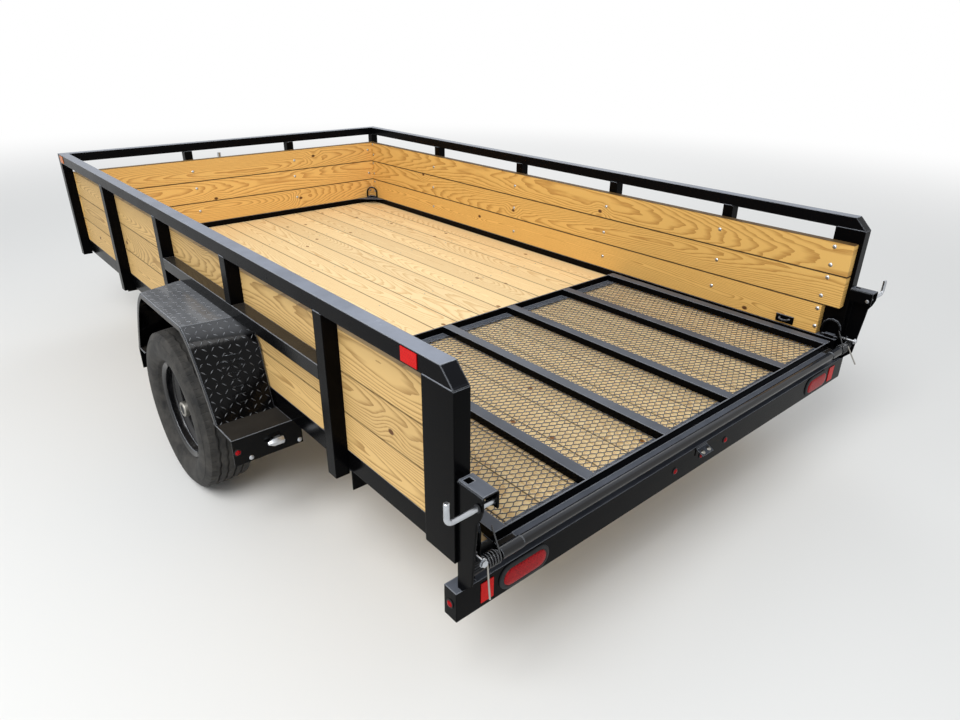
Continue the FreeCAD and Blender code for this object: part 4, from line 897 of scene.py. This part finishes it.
# %% Hook round the anchor bolt
anchor_y, anchor_z = 1087.0, 547.0
hook_radius, hook_start, hook_turn, hook_steps = 9.6, -90, 300, 24
hook_x, hook_drift = -32.0, 5.0
hook_path = [at(hinge_x + 2.0, coil_end, hinge_z + coil_radius)]
for step in range(hook_steps + 1):
    angle = math.radians(hook_start + hook_turn * step / hook_steps)
    hook_path.append(at(hook_x + hook_drift * step / hook_steps, anchor_y + hook_radius * math.cos(angle),
                        anchor_z + hook_radius * math.sin(angle)))
add_piece("spring_hooks", both([round_bar(hook_path, spring_wire, wire_sides)]), "root",
          spring_paint)

# %% Latch pins
pin_x, pin_z, pin_inner, pin_outer, pin_bend, pin_top = -79.0, 745.0, 1058.0, 1215.0, 18.0, 807.0
pin_radius, pin_end, chamfer, bend_steps = 0.0075, 0.0055, 2.0, 8
pin_path = [at(pin_x, pin_inner, pin_z), at(pin_x, pin_inner + chamfer, pin_z)]
for step in range(bend_steps + 1):
    angle = math.pi / 2 * step / bend_steps
    pin_path.append(at(pin_x, pin_outer - pin_bend * (1 - math.sin(angle)),
                       pin_z + pin_bend * (1 - math.cos(angle))))
pin_path += [at(pin_x, pin_outer, pin_top - chamfer), at(pin_x, pin_outer, pin_top)]
pin_radii = [pin_end] + [pin_radius] * (len(pin_path) - 2) + [pin_end]
collar_y = 1120.5
collar_outline = [(0.0076, 0.0), (0.0105, 0.0), (0.0115, 0.001), (0.0115, 0.004), (0.0105, 0.005),
                  (0.0076, 0.005)]
collar = spun(collar_outline, at(pin_x, collar_y, pin_z), (0, 1, 0))
add_piece("latch_pins_round", both([round_bar(pin_path, pin_radii, 20)]), "root", bright_zinc,
          ["latch_pins"])
add_piece("latch_pin_collars", both([collar]), "root", grommet_rubber)

# %% Anchor bolts
bolt_length, washer_wall, head_length, head_chamfer = 64.0, 2.5, 8.0, 1.5
bolt_radius, washer_radius, head_radius, head_end = 0.00635, 0.0125, 0.011, 0.0095


def bolt_part(stops, radii, sides):
    """Part of the bolt between distances behind the frame's rear end."""
    return round_bar([at(-stop, anchor_y, anchor_z) for stop in stops], radii, sides)


shank = bolt_part((bolt_length, 0.0), bolt_radius, 20)
washer = bolt_part((bolt_length, bolt_length - washer_wall), washer_radius, 24)
head = bolt_part([bolt_length + away for away in (0.0, head_length - head_chamfer, head_length)],
                 [head_radius, head_radius, head_end], 6)
add_piece("anchor_bolts_round", both([shank, washer, head]), "root", bright_zinc,
          ["anchor_bolts"], crease=25)

# %% [markdown]
# ## Hinge pipe and the end of the deck
# The gate turns on a long pipe that lies along the beam, with a thicker barrel at each end. It is the roundest
# gloss part in the picture, and its one bright line shows it: flat sides would break that line, so a round
# sleeve as thin as the paint lies over the solid. Under the hinge a thin black strip covers the ends of the deck
# boards: painted shade for the shadow under the hinge, in place of their pale end grain.

# %% Hinge pipe
pipe_half, pipe_radius, barrel_radius, pipe_sides = 927.0, 0.01615, 0.01815, 48
pipe = round_bar([at(hinge_x, y, hinge_z) for y in (-pipe_half, pipe_half)], pipe_radius, pipe_sides)
barrel = round_bar([at(hinge_x, y, hinge_z) for y in (pipe_half + 1.0, barrel_end)], barrel_radius, pipe_sides)
add_piece("hinge_pipe_round", gather([pipe, both([barrel])]), "gate", hinge_paint)

# %% Strip over the deck's end
# A black sheet over the deck boards' pale ends: painted shade for the shadow under the hinge.
strip_x, strip_wall = at(33.0, 0, 0).x, 0.003
strip_below, strip_above = 0.002, 0.001
strip_section = ((strip_x - strip_wall, deck_low.z - strip_below), (strip_x, deck_low.z - strip_below),
                 (strip_x, deck_high.z + strip_above), (strip_x - strip_wall, deck_high.z))
ends = [[Vector((x, y, z)) for x, z in strip_section] for y in (-deck_high.y, deck_high.y)]
add_piece("deck_end_shade_strip", join_rings(ends, closed=False), "root", clean_coat, crease=20)

# %% [markdown]
# ## Bolts and screws
# The boards are held by carriage bolts, whose low zinc-plated domes show inside the bed: two in each board at the
# ends and one at each post between. The deck is held by countersunk screws into the angles below, two in each
# board. A dome is a short outline turned about its bolt, and the same outline, smaller, makes the screws.

# %% Carriage bolts
board_inner, board_rows, board_bottom = 1040.1, 3, 546.2
dome_outline = [(0.0001, 0.0042), (0.0040, 0.0038), (0.0072, 0.0026), (0.0092, 0.0007), (0.0092, -0.0010),
                (0.0001, -0.0010)]
luck = random.Random(7)
bolt_columns = ((104.0, (38.0, 123.0)), (640.0, (76.0,)), (1344.0, (66.0,)), (2098.0, (60.0,)), (2948.0, (64.0,)),
                (3738.0, (46.0, 122.0)))
stray_along, stray_up, front_stray_up = 9, 6, 25
row_bottoms = [board_bottom + row * board_pitch * 1000 for row in range(board_rows)]
bolts = []
for x, heights in bolt_columns:
    for row_bottom in row_bottoms:
        for height in heights:
            spot = at(x + luck.uniform(-stray_along, stray_along), board_inner,
                      row_bottom + height + luck.uniform(-stray_up, stray_up))
            bolts.append(spun(dome_outline, spot, (0, -1, 0), 16))
front_face, front_height = 3766.1, 70
for y in (370.0, 1010.0):
    for row_bottom in row_bottoms:
        z = row_bottom + front_height + luck.uniform(-front_stray_up, front_stray_up)
        bolts.append(spun(dome_outline, at(front_face, y + luck.uniform(-stray_up, stray_up), z), (-1, 0, 0), 16))
add_piece("carriage_bolts", both(bolts), "root", bright_zinc)

# %% Deck screws
screw_shrink, screw_flatten, screw_lift = 0.42, 0.35, 0.0001
screw_outline = [(radius * screw_shrink, height * screw_flatten + screw_lift) for radius, height in dome_outline]
screw_rows = (58.0, 620.0, 1170.0, 1720.0, 2420.0, 3100.0, 3740.0)
screws = []
for x in screw_rows:
    for board in range(deck_board_count):
        for side in (-0.3, 0.3):
            y = deck_low.y + (board + 0.5 + side) * deck_pitch + luck.uniform(-0.006, 0.006)
            spot = Vector((at(x + luck.uniform(-7, 7), 0, 0).x, y, deck_high.z))
            screws.append(spun(screw_outline, spot, (0, 0, 1), 8))
add_piece("deck_screws", gather(screws), "root", worn_zinc)
print(2 * len(bolts), "carriage bolts and", len(screws), "screws")

# %% [markdown]
# ## Hardware on the fender brackets
# On the rear plate of each bracket sit a long zinc hexagon, the nut of the bolt that crosses behind it, and two
# low bolt heads. The hexagon is a bar with six sides, and its cone end one more ring.

# %% Bracket hardware
plate_x, nut_z, head_z, strap_wall = 1022.8, 417.0, 378.0, Vector((-0.006, 0, 0))
nut_path = [at(plate_x - 15.0, y, nut_z) for y in (1124.0, 1127.0, 1166.0, 1180.0, 1186.0)]
long_nut = round_bar(nut_path, [0.0125, 0.0155, 0.0155, 0.0085, 0.0060], 6)
strap = [at(plate_x, y, z) for y, z in ((1134.0, 404.0), (1158.0, 404.0), (1158.0, 430.0), (1134.0, 430.0))]
strap_part = join_rings([strap, [point + strap_wall for point in strap]], closed=False)
heads = [spun(dome_outline, at(plate_x, y, head_z), (-1, 0, 0), 20) for y in (1246.0, 1057.0)]
add_piece("bracket_nuts", both([long_nut, strap_part] + heads), "root", bright_zinc, crease=25)

# %% [markdown]
# ## Lamps
# Each tail lamp is an oval acrylic lens in a rubber grommet. The lens is low and crowned, so ovals that shrink
# as they rise are joined into a shell, and the grommet is a rounded lip carried round the same oval. The small
# marker lamps are domes, each in a ring.

# %% Tail lamps
beam_face, beam_middle_z = -17.7, 389.0
lamp_y, lamp_half_length, lamp_half_height, lamp_arc_steps = 890.0, 84.0, 30.0, 16
# Each pair is how proud of the beam an oval lies, and how far in from the lens's edge.
lens_ovals = ((0, 0), (4.5, 0), (6.4, 1.0), (7.8, 3.5), (8.7, 8.0), (9.2, 15.0), (9.4, 24.0))
grommet_ovals = ((0, -14), (2.6, -14), (4.6, -12.5), (5.6, -9), (6.6, -4), (6.4, -1), (5.0, 0.2), (0, 0.2))


def oval(proud, inset):
    """Points round a lamp's oval, so far out from the beam and so far in from the lens's edge."""
    straight, radius = lamp_half_length - lamp_half_height, lamp_half_height - inset
    points = []
    for side in (1, -1):
        for step in range(lamp_arc_steps + 1):
            angle = math.pi * step / lamp_arc_steps
            points.append(at(beam_face - proud, lamp_y + side * (straight + radius * math.sin(angle)),
                             beam_middle_z + side * radius * math.cos(angle)))
    return points


lens = join_rings([oval(*place) for place in lens_ovals], closed=False)
grommet = join_rings([oval(*place) for place in grommet_ovals], closed=True)
add_piece("tail_lamp_lenses", both([lens]), "root", red_acrylic, ["tail_lamps"])
add_piece("lamp_grommets_round", both([grommet]), "root", grommet_rubber, ["lamp_grommets"])

# %% Marker lamps
beam_end_x, beam_end_y, bracket_lamp_y = 7.7, 1140.0, 1292.0
marker_spots = [(beam_end_x, side * beam_end_y, beam_middle_z, (0, side, 0)) for side in (1, -1)]
marker_spots += [(plate_x, side * bracket_lamp_y, nut_z, (-1, 0, 0)) for side in (1, -1)]
marker_spots += [(beam_face, y, beam_middle_z, (-1, 0, 0)) for y in (-160.0, 0.0, 160.0)]
marker_dome = [(0.0001, 0.0070), (0.0045, 0.0064), (0.0080, 0.0046), (0.0102, 0.0020), (0.0104, 0.0),
               (0.0001, 0.0)]
marker_ring = [(0.0104, 0.0), (0.0104, 0.0026), (0.0116, 0.0033), (0.0130, 0.0028), (0.0140, 0.0015),
               (0.0140, 0.0)]
domes, rings = (gather([spun(outline, at(x, y, z), out, 28) for x, y, z, out in marker_spots])
                for outline in (marker_dome, marker_ring))
add_piece("marker_lenses", domes, "root", red_acrylic, ["marker_lamps"])
add_piece("marker_rings", rings, "root", grommet_rubber)

# %% [markdown]
# ## Licence bracket
# In the middle of the beam hangs a small folded bracket for a licence plate and its lamp: thin black steel, a
# flat ear on the beam and a shelf that leans out. It is one outline of a bent strip, pushed sideways.

# %% Licence bracket
bracket_sides, shelf_lean = (-24.0, 42.0), (-0.42, 0, 0.91)
strip = [(-17.8, 436.0), (-17.8, 402.0), (-19.8, 402.0), (-19.8, 428.0), (-50.0, 414.0), (-51.0, 416.2),
         (-21.0, 430.6), (-19.8, 436.0)]
bracket = join_rings([[at(x, y, z) for x, z in strip] for y in bracket_sides], closed=False)
add_piece("licence_bracket", bracket, "root", powder_coat, crease=20)
bracket_bolts = gather([spun(dome_outline, at(-38.0, y, 422.4), shelf_lean, 16) for y in (-10.0, 26.0)])
add_piece("licence_bracket_bolts", bracket_bolts, "root", worn_zinc)

# %% [markdown]
# ## Weld beads
# Posts, rails and stands are joined by short arc welds, and a weld shows as a row of overlapping ripples some
# 4 mm apart. A bead is a thin round bar whose radius swells and shrinks along its way, half sunk in the joint.

# %% Weld beads
def weld(start, end, radius=0.0026, ripple=0.004):
    """A rippled bar from start to end, four millimetres from crest to crest."""
    steps = max(4, round((end - start).length / ripple * 2))
    return round_bar([start.lerp(end, step / steps) for step in range(steps + 1)],
                     [radius * (1.0 if step % 2 else 0.72) for step in range(steps + 1)], 8)


rail_bottom, post_outer, post_inner, bead_inset = 1027.2, 1129.0, 1078.2, 5
post_spans = ((2922.2, 2973.0), (2072.1, 2122.9), (1318.1, 1368.9), (614.2, 665.0), (0.0, 125.0))
stand_foot_z, bar_foot_z, bar_bead = 439.0, 551.0, 0.0018
beads = []
for post_rear, post_front in post_spans:
    for y in (post_outer, post_inner):
        beads.append(weld(at(post_rear + bead_inset, y, rail_bottom),
                          at(post_front - bead_inset, y, rail_bottom)))
    beads.append(weld(at(post_front, post_inner + bead_inset, rail_bottom),
                      at(post_front, post_outer - bead_inset, rail_bottom)))
for y in (1068.0, 1118.0):
    beads.append(weld(at(-15.0, y, stand_foot_z), at(-2.0, y, stand_foot_z)))
for bar_y in (-595.2, -198.4, 198.4, 595.2):
    for x in (6.5, 1217.5):
        beads.append(weld(at(x, bar_y - 20, bar_foot_z), at(x, bar_y + 18, bar_foot_z), bar_bead))
add_piece("weld_beads", both(beads), "root", powder_coat)
print(len(beads) * 2, "weld beads")
